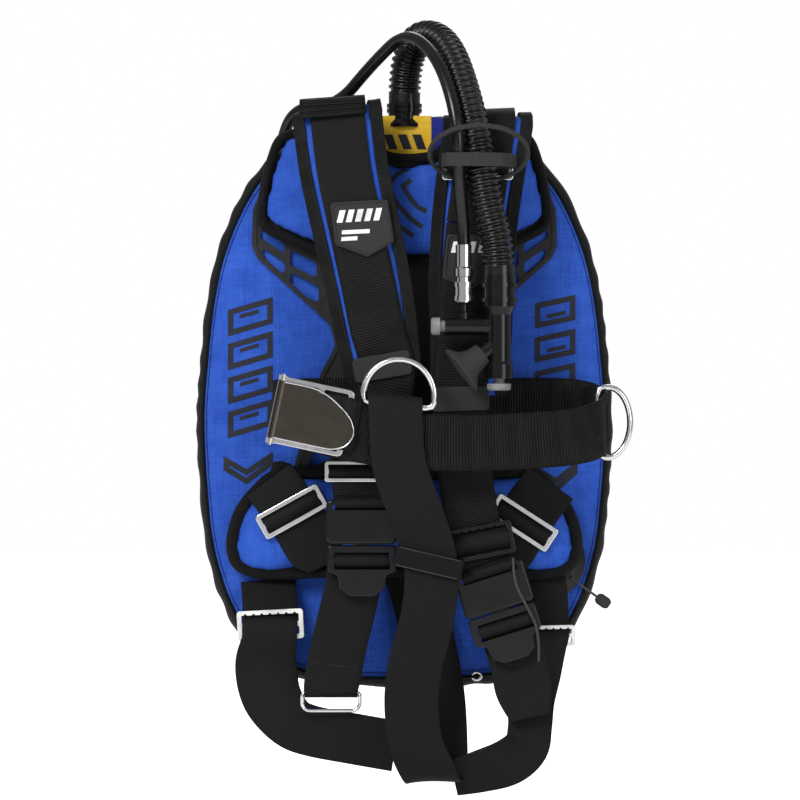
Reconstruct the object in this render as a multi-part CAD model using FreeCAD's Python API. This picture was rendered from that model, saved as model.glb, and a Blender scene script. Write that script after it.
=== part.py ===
"""Buoyancy compensator vest: wing, backplate, harness, power inflator and tank bands.

All lengths are in millimetres. Pieces are laid out in the plate frame, with X across the
shoulders, Y from the wearer's front to the tank, Z up, and zero at the centre of the
backplate's rear face. They are exported about the upper tank band's centre.
"""
import FreeCAD
import Part
import math
import os

V = FreeCAD.Vector
os.makedirs("parts", exist_ok=True)

# ---------------------------------------------------------------- driving dimensions
WEB = 50.0               # harness webbing width
WEB_T = 2.5              # harness webbing thickness
PLATE_T = 3.0            # backplate sheet
PAD_T = 11.0             # closed-cell foam pads
BOLT_SPACING = 279.4     # standard 11 inch bolt pattern between plate and wing
BOLT_R = 4.0
TANK_R = 92.1            # 184.2 mm cylinder
TANK_Y = 112.0           # tank axis behind the plate
BAND_UPPER_Z = 90.0
BAND_LOWER_Z = -70.0
WING_FRONT = 4.0         # front skin of the wing
WING_BACK = 54.0         # back of the lobes
LANE_X = 98.0            # half width of the tank lane between the lobes
LANE_Y = 14.0            # back skin of the wing in the tank lane
SKIN = 2.0               # wing cover cloth with its lining
HOSE_R = 15.0            # corrugated hose
HOSE_BORE = 12.0
LP_R = 5.5               # low-pressure hose
BELT_T = 2.8
STRAP_Y = -52.0          # middle of the shoulder pads in front of the plate
INFLATOR_Y = -88.0       # axis of the inflator barrel

ORIGIN = V(0, TANK_Y, BAND_UPPER_Z)


# ---------------------------------------------------------------- helpers
def save(node, shape):
    """Move a shape to the origin mount and write it as one STEP file."""
    moved = shape.copy()
    moved.translate(-ORIGIN)
    moved.exportStep("parts/" + node + ".step")
    print(node, "solids", len(moved.Solids), "volume", round(moved.Volume), "valid", moved.isValid())


def corner_wire(points, radius, closed=True):
    """A wire through the points with its corners rounded by tangent arcs."""
    count = len(points)
    edges = []
    ends = []
    for i in range(count):
        here = points[i]
        if not closed and i in (0, count - 1):
            ends.append((here, None, here))
            continue
        before = points[i - 1] - here
        after = points[(i + 1) % count] - here
        turn = math.pi - before.getAngle(after)
        size = radius[i] if isinstance(radius, (list, tuple)) else radius
        short = min(before.Length, after.Length)
        reach = 0.45 * short
        if size is not None:
            reach = min(reach, size * math.tan(turn / 2))
        size = reach / math.tan(turn / 2)
        a = here + V(before).normalize() * reach
        b = here + V(after).normalize() * reach
        bisector = (V(before).normalize() + V(after).normalize()).normalize()
        centre = here + bisector * (size / math.cos(turn / 2))
        middle = centre - bisector * size
        ends.append((a, middle, b))
    for i in range(count if closed else count - 1):
        a = ends[i][2]
        b = ends[(i + 1) % count][0]
        if (b - a).Length > 1e-6:
            edges.append(Part.LineSegment(a, b).toShape())
        nxt = ends[(i + 1) % count]
        if nxt[1] is not None:
            edges.append(Part.Arc(nxt[0], nxt[1], nxt[2]).toShape())
    return Part.Wire(Part.__sortEdges__(edges))


def outline(points, radius, y):
    """Rounded closed outline from (x, z) points on the plane Y = y."""
    return corner_wire([V(x, y, z) for x, z in points], radius)


def slab(points, radius, y, depth, edge=0.0):
    """Rounded outline extruded along +Y, with its outer rims rounded."""
    body = Part.Face(outline(points, radius, y)).extrude(V(0, depth, 0))
    if edge > 0:
        rims = [e for e in body.Edges if abs(e.BoundBox.YMax - e.BoundBox.YMin) < 1e-6]
        body = body.makeFillet(edge, rims)
    return body


def band_of(outer, inner):
    """Flat face between two closed wires, one inside the other."""
    return Part.Face(outer).cut(Part.Face(inner))


def mirrored(points):
    """The same (x, z) outline on the other side of the centre plane."""
    return [(-x, z) for x, z in reversed(points)]


def both_sides(points):
    """Closed outline from the points of its right half, listed from top to bottom."""
    return points + [(-x, z) for x, z in reversed(points) if abs(x) > 1e-6]


def box(x0, x1, y0, y1, z0, z1):
    """Box between two corners."""
    return Part.makeBox(x1 - x0, y1 - y0, z1 - z0, V(x0, y0, z0))


def ribbon(stations, width, thickness):
    """Flat strap through stations of (point, across direction) with the given section."""
    wires = []
    last = len(stations) - 1
    for i, (point, across) in enumerate(stations):
        along = stations[min(i + 1, last)][0] - stations[max(i - 1, 0)][0]
        side = V(across).normalize()
        side = (side - along * (side.dot(along) / along.dot(along))).normalize()
        up = side.cross(along).normalize()
        w = width[i] if isinstance(width, (list, tuple)) else width
        t = thickness
        ring = [
            point - side * (w / 2) - up * (t / 2),
            point + side * (w / 2) - up * (t / 2),
            point + side * (w / 2) + up * (t / 2),
            point - side * (w / 2) + up * (t / 2),
        ]
        wires.append(Part.makePolygon(ring + [ring[0]]))
    return Part.makeLoft(wires, True, True)


def folded_ribbon(stations, width, thickness):
    """Flat strap with sharp folds, built from ruled faces between its stations."""
    rings = []
    last = len(stations) - 1
    for i, (point, across) in enumerate(stations):
        along = stations[min(i + 1, last)][0] - stations[max(i - 1, 0)][0]
        side = V(across).normalize()
        side = (side - along * (side.dot(along) / along.dot(along))).normalize()
        up = side.cross(along).normalize()
        w = width[i] if isinstance(width, (list, tuple)) else width
        t = thickness
        rings.append([
            point - side * (w / 2) - up * (t / 2),
            point + side * (w / 2) - up * (t / 2),
            point + side * (w / 2) + up * (t / 2),
            point - side * (w / 2) + up * (t / 2),
        ])
    faces = [Part.Face(Part.makePolygon(ring + [ring[0]])) for ring in (rings[0], rings[-1])]
    for a, b in zip(rings, rings[1:]):
        for k in range(4):
            n = (k + 1) % 4
            faces.append(Part.makeRuledSurface(Part.makeLine(a[k], a[n]), Part.makeLine(b[k], b[n])))
    shell = Part.makeShell(faces)
    shell.sewShape()
    body = Part.Solid(shell)
    if body.Volume < 0:
        body.reverse()
    return body


def tube(points, radius, bore=0.0, name="", bend=None):
    """Round tube along straight runs joined by tangent arcs; prints its least radius."""
    path = corner_wire(points, bend, closed=False)
    start = (points[1] - points[0]).normalize()

    def sweep(r):
        circle = Part.Wire([Part.makeCircle(r, points[0], start)])
        return path.makePipeShell([circle], True, True)

    body = sweep(radius)
    if bore > 0:
        body = body.cut(sweep(bore))
    radii = [e.Curve.Radius for e in path.Edges if e.Curve.TypeId == "Part::GeomCircle"]
    if name:
        section = math.pi * (radius ** 2 - bore ** 2)
        share = body.Volume / (section * path.Length)
        print(name, "length", round(path.Length), "radii", [round(r) for r in radii],
              "volume share", round(share, 3))
    return body


def ring_rod(points, corner, radius):
    """Closed bent rod: rounded polygon swept with a round section."""
    path = corner_wire(points, corner)
    first = path.Edges[0]
    start = first.valueAt(first.FirstParameter)
    direction = first.tangentAt(first.FirstParameter)
    circle = Part.Wire([Part.makeCircle(radius, start, direction)])
    return path.makePipeShell([circle], True, True)


def cylinder(radius, start, end):
    """Round bar from one point to another."""
    return Part.makeCylinder(radius, (end - start).Length, start, end - start)


def pipe(outer, inner, start, end):
    """Round sleeve from one point to another."""
    return cylinder(outer, start, end).cut(cylinder(inner, start, end))


def revolved(profile, start, direction):
    """Solid turned about +Z from (radius, height) points, placed along a direction."""
    wire = Part.makePolygon([V(r, 0, h) for r, h in profile] + [V(profile[0][0], 0, profile[0][1])])
    body = Part.Face(wire).revolve(V(0, 0, 0), V(0, 0, 1), 360)
    body.Placement = FreeCAD.Placement(start, FreeCAD.Rotation(V(0, 0, 1), direction))
    return body


def placed(shape, position, tilt=0.0, pitch=0.0, yaw=0.0):
    """Place a shape built about the origin: tilt about Y, pitch about X, yaw about Z."""
    turn = FreeCAD.Rotation(V(0, 1, 0), tilt)
    turn = turn.multiply(FreeCAD.Rotation(V(1, 0, 0), pitch))
    turn = turn.multiply(FreeCAD.Rotation(V(0, 0, 1), yaw))
    moved = shape.copy()
    moved.Placement = FreeCAD.Placement(position, turn).multiply(moved.Placement)
    return moved


def slide(length, height, bar, thickness, teeth=0):
    """Three-bar webbing slide, long side along X, optionally with teeth under its upper bar."""
    half_l = length / 2
    half_h = height / 2
    frame = [(-half_l, half_h), (half_l, half_h), (half_l, -half_h), (-half_l, -half_h)]
    body = slab(frame, 3.0, -thickness / 2, thickness, 0.8)
    slot_h = (height - 3 * bar) / 2
    for sign in (-1, 1):
        middle = sign * (bar + slot_h) / 2
        window = [
            (-half_l + bar, middle + slot_h / 2),
            (half_l - bar, middle + slot_h / 2),
            (half_l - bar, middle - slot_h / 2),
            (-half_l + bar, middle - slot_h / 2),
        ]
        body = body.cut(slab(window, 1.2, -thickness, 2 * thickness))
    for i in range(teeth):
        x = -half_l + bar + (i + 0.5) * (length - 2 * bar) / teeth
        notch = Part.makeCylinder(1.3, 4 * thickness, V(x, -2 * thickness, half_h - bar), V(0, 1, 0))
        body = body.cut(notch)
    return body


# ---------------------------------------------------------------- wing
WING_RIGHT = [
    (0, 215), (60, 211), (104, 192), (141, 157), (167, 104), (180, 52), (187, -9),
    (190.5, -66), (187, -135), (180, -189), (163, -240), (136, -281), (98, -300), (45, -307),
]


def wing_wire(y, scale):
    """Closed smooth wing outline on the plane Y = y, scaled about the wing's middle."""
    middle = -46.0
    points = [V(x * scale, y, middle + (z - middle) * scale) for x, z in both_sides(WING_RIGHT)]
    curve = Part.BSplineCurve()
    curve.interpolate(points, PeriodicFlag=True)
    return Part.Wire([curve.toShape()])


def wing_block(front, back, grow, lane_x, lane_y):
    """Two lobes joined by a thin panel: the outline tapered to the back, less the tank lane."""
    shoulder = front + 0.62 * (back - front)
    body = Part.makeLoft([wing_wire(front, grow), wing_wire(shoulder, grow)], True, True)
    crown = Part.makeLoft([wing_wire(shoulder, grow), wing_wire(back, grow - 0.07)], True, True)
    body = body.fuse(crown)
    return body.cut(box(-lane_x, lane_x, lane_y, back + 10, -340, 260))


def wing_openings(body):
    """Cut the bolt grommets and the slots that the tank bands pass through."""
    for sign in (-1, 1):
        for z in (BAND_UPPER_Z, BAND_LOWER_Z):
            x = sign * 66.5
            body = body.cut(box(x - 6.5, x + 6.5, -5, 30, z - 27.5, z + 27.5))
        hole = Part.makeCylinder(BOLT_R + 0.5, 40, V(0, -5, sign * BOLT_SPACING / 2), V(0, 1, 0))
        body = body.cut(hole)
    return body


OPV = V(129, 0, -191)
valve_hole = Part.makeCylinder(28.5, 16, V(OPV.x, 2, OPV.z), V(0, 1, 0))
front_face = Part.Face(wing_wire(WING_FRONT, 1.0))
front_panel = wing_openings(front_face.extrude(V(0, SKIN, 0))).cut(valve_hole)
wing_outer = wing_block(WING_FRONT + SKIN, WING_BACK, 1.0, LANE_X, LANE_Y)
wing_inner = wing_block(WING_FRONT + SKIN, WING_BACK - SKIN, 0.988, LANE_X + SKIN, LANE_Y - SKIN)
back_panel = wing_openings(wing_outer.cut(wing_inner))
bladder = wing_openings(wing_inner).cut(valve_hole)
save("wing_front_panel", front_panel)
save("wing_back_panel", back_panel)
save("wing_bladder", bladder)

neck_patch = slab([(-22, 213), (25, 213), (30, 182), (-22, 180)], 4, 1.6, 2.3, 0.6)
save("neck_patch", neck_patch)

# ---------------------------------------------------------------- backplate
plate_right = [
    (14, 171), (40, 177), (60, 188), (118, 178), (138, 128), (139, 96), (134, 84), (68, 24), (63, 4), (76, -20),
    (104, -118), (100, -150), (56, -172),
]
plate_outline = both_sides(plate_right)
plate = slab(plate_outline, 10, -PLATE_T, PLATE_T)
plate_windows = [
    [(131, 112), (109, 97), (109, 88), (131, 103)],
    [(131, 95), (109, 80), (109, 68), (127, 84)],
    [(104, 92), (80, 80), (80, 66), (104, 78)],
    [(104, 72), (78, 58), (78, 44), (88, 48), (104, 62)],
    [(74, -62), (88, -108), (54, -92)],
    [(84, -124), (88, -142), (52, -160), (30, -160), (30, -124)],
    [(66, 168), (108, 162), (116, 132), (84, 122), (66, 140)],
]
for window in plate_windows:
    for points in (window, mirrored(window)):
        plate = plate.cut(slab(points, 2.5, -PLATE_T - 8, 20))
rim_face = Part.Face(outline(plate_outline, 10, -PLATE_T))
rim_inner = Part.Face(outline(plate_outline, 10, -PLATE_T).makeOffset2D(-4.0))
rim = rim_face.cut(rim_inner).extrude(V(0, -1.6, 0))
plate = plate.fuse(rim)
for sign in (-1, 1):
    plate = plate.fuse(box(sign * 24 - 3, sign * 24 + 3, -PLATE_T - 3, -PLATE_T, -150, 150))
for sign in (-1, 1):
    hole = Part.makeCylinder(BOLT_R + 0.25, 30, V(0, -15, sign * BOLT_SPACING / 2), V(0, 1, 0))
    plate = plate.cut(hole)
plate = plate.removeSplitter()
save("backplate", plate)

bolts = []
for sign in (-1, 1):
    z = sign * BOLT_SPACING / 2
    head = revolved([(0, 0), (8, 0), (8, 2.2), (5, 3.6), (0, 3.6)], V(0, -PLATE_T, z), V(0, -1, 0))
    shank = cylinder(BOLT_R, V(0, -PLATE_T, z), V(0, LANE_Y + 2, z))
    disc = revolved([(BOLT_R, 0), (9, 0), (9, 1.5), (BOLT_R, 1.5)], V(0, LANE_Y, z), V(0, 1, 0))
    bolts.append(head.fuse(shank).fuse(disc))
save("plate_bolts", Part.makeCompound(bolts))

# ---------------------------------------------------------------- pads
pad_y = -PLATE_T - 3.2 - PAD_T
back_pad = slab(
    both_sides([(16, 177), (35, 183), (53, 201), (96, 201), (116, 196), (128, 160), (134, 120), (127, 108), (78, 86), (30, 78)]),
    9, pad_y, PAD_T, 4.5)
for sign in (-1, 1):
    pocket = Part.makeCylinder(9.5, 5, V(0, pad_y + PAD_T - 5, sign * BOLT_SPACING / 2), V(0, 1, 0))
    back_pad = back_pad.cut(pocket)
save("back_pad", back_pad)

lumbar_pad = slab(
    both_sides([(120, -108), (152, -142), (161, -176), (155, -198), (128, -207), (60, -203)]),
    11, pad_y - 3, PAD_T + 3, 6)
lumbar_pad = lumbar_pad.cut(
    Part.makeCylinder(9.5, 5, V(0, pad_y + PAD_T - 5, -BOLT_SPACING / 2), V(0, 1, 0)))
save("lumbar_pad", lumbar_pad)

# ---------------------------------------------------------------- shoulder straps
def strap_profile(z):
    """Depth of the shoulder pads' middle at height z, bowing forward over the chest."""
    if z > 170:
        return STRAP_Y + 0.018 * (z - 170) ** 2
    return STRAP_Y


def shoulder_stations(line, offset, low=None, high=None):
    """Stations down a shoulder from (x, z) points, offset forward of the pads' middle."""
    stations = []
    for x, z in line:
        if low is not None and z < low:
            continue
        if high is not None and z > high:
            continue
        stations.append((V(x, strap_profile(z) - offset, z), V(1, 0, 0.18 if x < 0 else 0.04)))
    return stations


LEFT_PAD = [(-60, 206), (-54, 160), (-44, 112), (-34, 66), (-25, 22), (-15, -22)]
RIGHT_PAD = [(75, 199), (69, 160), (62, 112), (57, 60), (53, 8), (50, -42)]


def shoulder_pad(line, widths, name):
    """Foam pad from the yoke behind the neck, over the shoulder and down the chest."""
    drop = 206 - line[0][1]
    side = V(1, 0, 0.18) if line[0][0] < 0 else V(1, 0, 0.04)
    x = line[0][0]
    stations = [
        (V(x, -28, 190 - drop), side), (V(x, -27, 205 - drop), side), (V(x, -32, 214 - drop), side),
        (V(x, -40, 214 - drop), side), (V(x, -47, 206 - drop), side),
    ]
    stations += [(V(px, STRAP_Y, pz), side) for px, pz in line[1:]]
    body = ribbon(stations, [70, 72, 76, 80, 81] + widths, PAD_T)
    save(name, body)


LEFT_FOAM = LEFT_PAD[:4] + [(-26, 22), (-19, -22)]
RIGHT_FOAM = [(75, 199), (69, 160), (63, 112), (60, 60), (60, 8), (58, -42)]
shoulder_pad(LEFT_FOAM, [80, 79, 78, 75, 69], "shoulder_pad_left")
shoulder_pad(RIGHT_FOAM, [80, 78, 76, 73, 69], "shoulder_pad_right")


def webbing(line, name, tail):
    """Harness webbing over a shoulder pad, then down behind the belt to its clip."""
    side = V(1, 0, 0.18) if line[0][0] < 0 else V(1, 0, 0.04)
    gap = PAD_T / 2 + WEB_T / 2 + 0.4
    x = line[0][0]
    drop = 206 - line[0][1]
    stations = [
        (V(x, -28, 220 + WEB_T - drop), side), (V(x, -41, 220.5 + WEB_T - drop), side),
        (V(x, -53.5, 209 - drop), side),
    ]
    stations += [(V(px, STRAP_Y - gap, pz), side) for px, pz in line[1:]]
    stations += [(V(*point), V(*across)) for point, across in tail]
    body = ribbon(stations, WEB - 1, WEB_T)
    save(name, body)


FRONT_WEB_Y = STRAP_Y - PAD_T / 2 - WEB_T / 2 - 0.4
LABEL_Y = FRONT_WEB_Y - WEB_T / 2 - 0.4
CLIP_Y = -64.0
webbing(LEFT_PAD, "shoulder_webbing_left", [
    ((-28, -61, -66), (1, 0, 0.1)), ((-40, -62, -104), (1, 0, 0.05)), ((-39, -64, -133), (1, 0, 0)),
])
webbing(RIGHT_PAD, "shoulder_webbing_right", [
    ((53, -61, -92), (1, 0, 0.05)), ((60, -62, -150), (1, 0, 0.15)), ((73, -64, -190), (1, 0, 0.28)),
])

patches = []
label_left = [(-67, 132), (-15, 135), (-9, 97), (-33, 83), (-62, 94)]
label_right = [(38, 104), (88, 102), (84, 70), (60, 54), (34, 64)]
for points in (label_left, label_right):
    patches.append(slab(points, 4, LABEL_Y - 2.5, 2.5, 0.8))
for x, z, tilt in ((-20, -15, -10), (50, -44, -2)):
    end = slab([(-26, 11), (26, 11), (26, -11), (-26, -11)], 4, -1.25, 2.5, 0.8)
    for k in (-1, 0, 1):
        arrow = [(k * 14 - 4, 5), (k * 14 + 4, 5), (k * 14, -5)]
        end = end.cut(slab(arrow, 0.6, -1.3, 0.6))
    patches.append(placed(end, V(x, LABEL_Y - 1.25, z), tilt))
save("shoulder_patches", Part.makeCompound(patches))

# ---------------------------------------------------------------- steel webbing slides
wide_slide = slide(64, 24, 4.0, 3.0)
slides = [
    placed(wide_slide, V(65.5, LABEL_Y - 1.5, 164), 0),
    placed(wide_slide, V(-102, -27.5, -146), -29),
    placed(wide_slide, V(107, -27.5, -156), 33),
    placed(slide(57, 19, 3.2, 3.0), V(-43, LABEL_Y - 5.2, -109), 0),
]
save("steel_slides", Part.makeCompound(slides))
save("clip_slide", placed(slide(60, 30, 4.0, 3.4, 7), V(68, LABEL_Y - 6.4, -172), -11))

leg_slides = [
    placed(slide(60, 27, 4.0, 3.0, 7), V(-121, -36, -248), -3),
    placed(slide(56, 19, 3.4, 3.0, 7), V(127.5, -36.5, -258), 0, 0, 17),
]
save("leg_slides", Part.makeCompound(leg_slides))

# ---------------------------------------------------------------- lumbar straps
lumbar = [
    ribbon([(V(-123, -23.4, -117), V(1, 0, 0.6)), (V(-102, -23.4, -146), V(1, 0, 0.6)),
            (V(-80, -23.4, -182), V(1, 0, 0.6)), (V(-73, -23.4, -196), V(1, 0, 0.6))],
           [WEB, WEB, WEB, 26], WEB_T),
    ribbon([(V(133, -23.4, -120), V(1, 0, -0.66)), (V(107, -23.4, -156), V(1, 0, -0.66)),
            (V(92, -23.4, -182), V(1, 0, -0.66)), (V(84, -23.4, -194), V(1, 0, -0.66))],
           [WEB, WEB, WEB, 26], WEB_T),
]
save("lumbar_straps", Part.makeCompound(lumbar))

# ---------------------------------------------------------------- waist belt and its lever buckle
def belt_z(x, y):
    """Height of the belt's middle: lower in front, rising towards the buckle."""
    front = (-12.0 - y) / 83.0
    rise = 0.00116 * (x - 40) ** 2 if x < 40 else 0.0004 * (x - 40) ** 2
    return -50.0 - 33.0 * front + rise * front


belt_plan = [
    (-48, -90.6), (-84, -90.8), (-104, -84), (-116, -68), (-116, -42), (-104, -22), (-80, -12.5),
    (-20, -12), (60, -12), (140, -12.5), (164, -22), (178, -42), (180, -60), (174, -78),
    (158, -91), (130, -95), (70, -95.5), (10, -95.5), (-40, -95.5), (-72, -95.3),
]
belt = ribbon([(V(x, y, belt_z(x, y)), V(0, 0, 1)) for x, y in belt_plan], WEB, BELT_T)
save("waist_belt", belt)

BUCKLE = V(-81, -99.5, -60)
BUCKLE_TILT = 12.0
hinge_u = -33.0
frame = slab([(-37, 30), (32, 30), (32, -30), (-37, -30)], 5, -1.2, 2.4, 0.7)
frame = frame.cut(slab([(-28, 26), (0, 26), (0, -26), (-28, -26)], 2, -5, 10))
frame = frame.cut(slab([(5, 26), (27, 26), (27, -26), (5, -26)], 2, -5, 10))
for sign in (-1, 1):
    ear = box(hinge_u - 4, hinge_u + 4, -6, 0, -2, 2).translated(V(0, 0, sign * 28.6))
    frame = frame.fuse(ear)
frame = frame.cut(cylinder(2.0, V(hinge_u, -4.6, -40), V(hinge_u, -4.6, 40)))
pin = cylinder(2.0, V(hinge_u, -4.6, -32), V(hinge_u, -4.6, 32))
lever = slab([(-33, 25), (-6, 25), (18, 16), (34, 4), (38, -10), (30, -22), (14, -25), (-33, -25)], 5, -6.9, 1.6)
lip = slab([(22, 11.5), (34, 3), (37.5, -10), (31, -20), (27, -17), (31.5, -9), (29, -1), (19, 7)], 1.5, -8.2, 2.0)
lever = lever.fuse(lip)
lever = lever.fuse(cylinder(3.3, V(hinge_u, -4.6, -26), V(hinge_u, -4.6, 26)))
lever = lever.cut(cylinder(2.1, V(hinge_u, -4.6, -40), V(hinge_u, -4.6, 40)))
for node, shape in (("belt_buckle_frame", frame), ("belt_buckle_pin", pin), ("belt_buckle_lever", lever)):
    save(node, placed(shape, BUCKLE, BUCKLE_TILT))

# ---------------------------------------------------------------- crotch strap, keeper and rings
crotch = folded_ribbon([
    (V(-8, -88.4, -104), V(1, 0, 0)), (V(-8, -88.4, -56), V(1, 0, -0.08)), (V(-8, -90.6, -43), V(1, 0, -0.12)),
    (V(-8, -98.4, -42), V(1, 0, -0.12)), (V(-8, -101.6, -52), V(1, 0, -0.1)), (V(-5, -101.6, -100), V(1, 0, 0.1)),
    (V(8, -97, -140), V(1, 0, 0.3)), (V(20, -91, -175), V(1, 0, 0.25)), (V(24, -89, -205), V(1, 0, 0.1)),
    (V(20, -88, -240), V(1, 0, 0)), (V(9, -87, -283), V(1, 0, 0)), (V(6, -86, -318), V(1, 0, 0)),
    (V(11, -84, -354), V(1, 0, 0)), (V(22, -79, -378), V(1, 0, 0)), (V(27, -68, -385), V(1, 0, 0)),
    (V(31, -54, -378), V(1, 0, 0)), (V(33, -44, -358), V(1, 0, 0)), (V(29, -24, -300), V(1, 0, 0)),
    (V(12, -4, -225), V(1, 0, 0)), (V(1, -1.6, -192), V(1, 0, 0)), (V(0, -1.6, -177), V(1, 0, 0)),
], WEB - 2, WEB_T)
save("crotch_strap", crotch)

keeper_loop = [V(-31.5, -6.4, 0), V(30.5, -6.4, 0), V(30.5, 6.4, 0), V(-31.5, 6.4, 0)]
keeper_face = band_of(corner_wire(keeper_loop, 3), corner_wire(keeper_loop, 3).makeOffset2D(-1.5))
keeper = keeper_face.extrude(V(0, 0, 17)).translated(V(0, 0, -8.5))
save("crotch_keeper", placed(keeper, V(22, -89.3, -190), 13, 4))


def d_path(half, height):
    """Corner points of a D-shaped ring in the XZ plane with its bar along X at Z = 0."""
    return [V(-half, 0, 0), V(half, 0, 0), V(half, 0, height), V(-half, 0, height)]


crotch_ring = ring_rod(d_path(31.5, 39), [5, 5, 31, 31], 3.0)
save("crotch_d_ring", placed(crotch_ring, V(-6, -94.6, -50), 6))
hip_ring = ring_rod(d_path(31.5, 27), [5, 5, 21.5, 21.5], 2.8)
hip_ring = placed(placed(hip_ring, V(0, 0, 0), 90), V(173.5, -58, -65))
save("hip_d_ring", hip_ring)
TAIL_RING = V(-66, -55, -308)
tail_ring = ring_rod(d_path(26, 16), [3, 3, 12.5, 12.5], 1.7)
save("tail_d_ring", placed(tail_ring, TAIL_RING, 180))

# ---------------------------------------------------------------- side-release clips
def clip_female():
    """Hollow housing with side windows, a webbing bar and a mouth at its lower end."""
    body = slab([(-32, 40), (32, 40), (32, 0), (-32, 0)], 6, -6.5, 13, 2.2)
    body = body.cut(box(-27.5, 27.5, -3.6, 3.6, -1, 27))
    for sign in (-1, 1):
        window = slab([(24, 21), (40, 21), (40, 7), (24, 7)], 3, -4.2, 8.4)
        body = body.cut(window if sign > 0 else window.mirror(V(0, 0, 0), V(1, 0, 0)))
    body = body.cut(slab([(-26, 36), (26, 36), (26, 30.5), (-26, 30.5)], 1.5, -10, 20))
    for k in range(3):
        body = body.cut(box(-14, 14, -7, -5.8, 5 + 5 * k, 7 + 5 * k))
    return body


def clip_male():
    """Base with two ladder slots for the tail webbing, a narrower curved tab and a guide tongue."""
    base_outline = [(-31, -1), (31, -1), (31, -25), (22, -28), (20, -40), (11, -47), (-11, -47), (-20, -40),
                    (-22, -28), (-31, -25)]
    base = slab(base_outline, 4, -5, 10, 1.6)
    for z in (-7.5, -17):
        base = base.cut(slab([(-25, z), (25, z), (25, z - 5.6), (-25, z - 5.6)], 1.2, -10, 20))
    tongue = slab([(-8, -2), (8, -2), (6, 24), (-6, 24)], 3, -2.6, 5.2)
    return base.fuse(tongue)


def clip_prong(sign):
    """Sprung arm with a barb that shows in the housing's side window."""
    arm = [(17, 0.4), (24, 0.4), (26.6, 8), (30.4, 11), (30.0, 17), (25.5, 20.5), (21.5, 18), (20, 8)]
    body = slab(arm, 1.2, -2.9, 5.8)
    return body if sign > 0 else body.mirror(V(0, 0, 0), V(1, 0, 0))


CLIPS = {"left": (V(-38, CLIP_Y - 1, -174), 0.0), "right": (V(86, CLIP_Y - 1, -233), -17.5)}
for side_name, (spot, lean) in CLIPS.items():
    save("clip_female_" + side_name, placed(clip_female(), spot, lean))
    save("clip_male_" + side_name, placed(clip_male(), spot, lean))
    save("clip_prong_outer_" + side_name, placed(clip_prong(1), spot, lean))
    save("clip_prong_inner_" + side_name, placed(clip_prong(-1), spot, lean))

left_tail = ribbon([
    (V(-44, -58.2, -186), V(1, 0, 0)), (V(-47, -58, -215), V(1, 0, 0)), (V(-58, -57, -262), V(1, 0, 0.15)),
    (V(-64, -56, -292), V(1, 0, 0.1)), (V(-66, -55, -303), V(1, 0, 0.05)),
], WEB, WEB_T)
hem = pipe(4.2, 2.4, TAIL_RING + V(-21, 0, 0), TAIL_RING + V(21, 0, 0))
hem_bore = Part.makeCylinder(2.4, 60, TAIL_RING + V(-30, 0, 0), V(1, 0, 0))
left_tail = left_tail.cut(hem_bore).fuse(hem)
right_tail = ribbon([
    (V(90, -58, -243), V(1, 0, 0.28)), (V(101, -58, -278), V(1, 0, 0.2)), (V(107, -59, -306), V(1, 0, 0.05)),
    (V(113, -61, -330), V(1, 0, -0.1)),
], [WEB, WEB, WEB, 34], WEB_T)
save("clip_tails", Part.makeCompound([left_tail, right_tail]))

# ---------------------------------------------------------------- leg straps
leg_left = ribbon([
    (V(-124, -7.6, -209), V(1, 0, 0)), (V(-122, -22, -228), V(1, 0, 0)), (V(-122, -29, -248), V(1, 0, 0)),
    (V(-125, -34, -285), V(1, 0, 0.05)), (V(-120, -38, -312), V(1, 0, 0.45)),
    (V(-104, -42, -334), V(0.55, 0, 1)), (V(-84, -45, -343), V(0.2, 0, 1)), (V(-45, -49, -350), V(0.1, 0, 1)),
    (V(-8, -54, -356), V(0.1, 0, 1)),
], [WEB, WEB, WEB, 56, 54, 48, 46, 46, 46], WEB_T)
save("leg_strap_left", leg_left)
leg_right = ribbon([
    (V(127, -8.5, -206), V(1, 0, 0)), (V(127, -20, -232), V(1, 0.15, 0)), (V(126, -29, -258), V(1, 0.3, 0)),
    (V(120, -38, -288), V(1, 0.3, 0)), (V(113, -44, -314), V(1, 0.3, 0)), (V(113, -50, -340), V(1, 0.1, 0.1)),
    (V(107, -55, -360), V(0.8, 0, 0.8)), (V(88, -59, -374), V(0.2, 0, 1)), (V(61, -61, -377), V(0, 0, 1)),
], [40, 44, 46, 46, 44, 36, 30, 24, 20], WEB_T)
save("leg_strap_right", leg_right)

# ---------------------------------------------------------------- corrugated hose and inflator
BARREL = V(84, INFLATOR_Y, 0)
hose_start = V(0, 9.0, 226.0)
hose_route = [hose_start, V(0, 9, 283), V(36, -34, 287), V(60, -88, 208), V(72, -91, 133),
              V(84, INFLATOR_Y, 90), V(84, INFLATOR_Y, 66)]
nozzle_z = 204.0
nozzle = revolved([(8, 0), (17, 0), (17, 3), (14.5, 7), (14.5, 22), (8, 22)], V(0, 9.0, nozzle_z), V(0, 0, 1))
nozzle = nozzle.cut(wing_outer).cut(front_face.extrude(V(0, SKIN, 0))).cut(neck_patch)
save("wing_nozzle", nozzle)
save("corrugated_hose", tube(hose_route, HOSE_R, HOSE_BORE, "corrugated_hose"))

clamps = []
for z in (nozzle_z + 15.3, nozzle_z + 19.8):
    clamps.append((V(0, 9.0, z), 14.6))
for z in (57, 44):
    clamps.append((V(BARREL.x, BARREL.y, z), 15.1))
clamp_solids = []
for base, inner in clamps:
    ring = pipe(inner + 1.5, inner, base - V(0, 0, 1.7), base + V(0, 0, 1.7))
    lug = box(-3, 3, -inner - 4.2, -inner - 0.8, -1.7, 1.7).translated(base)
    clamp_solids.append(ring.fuse(lug))
save("hose_clamps", Part.makeCompound(clamp_solids))

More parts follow.
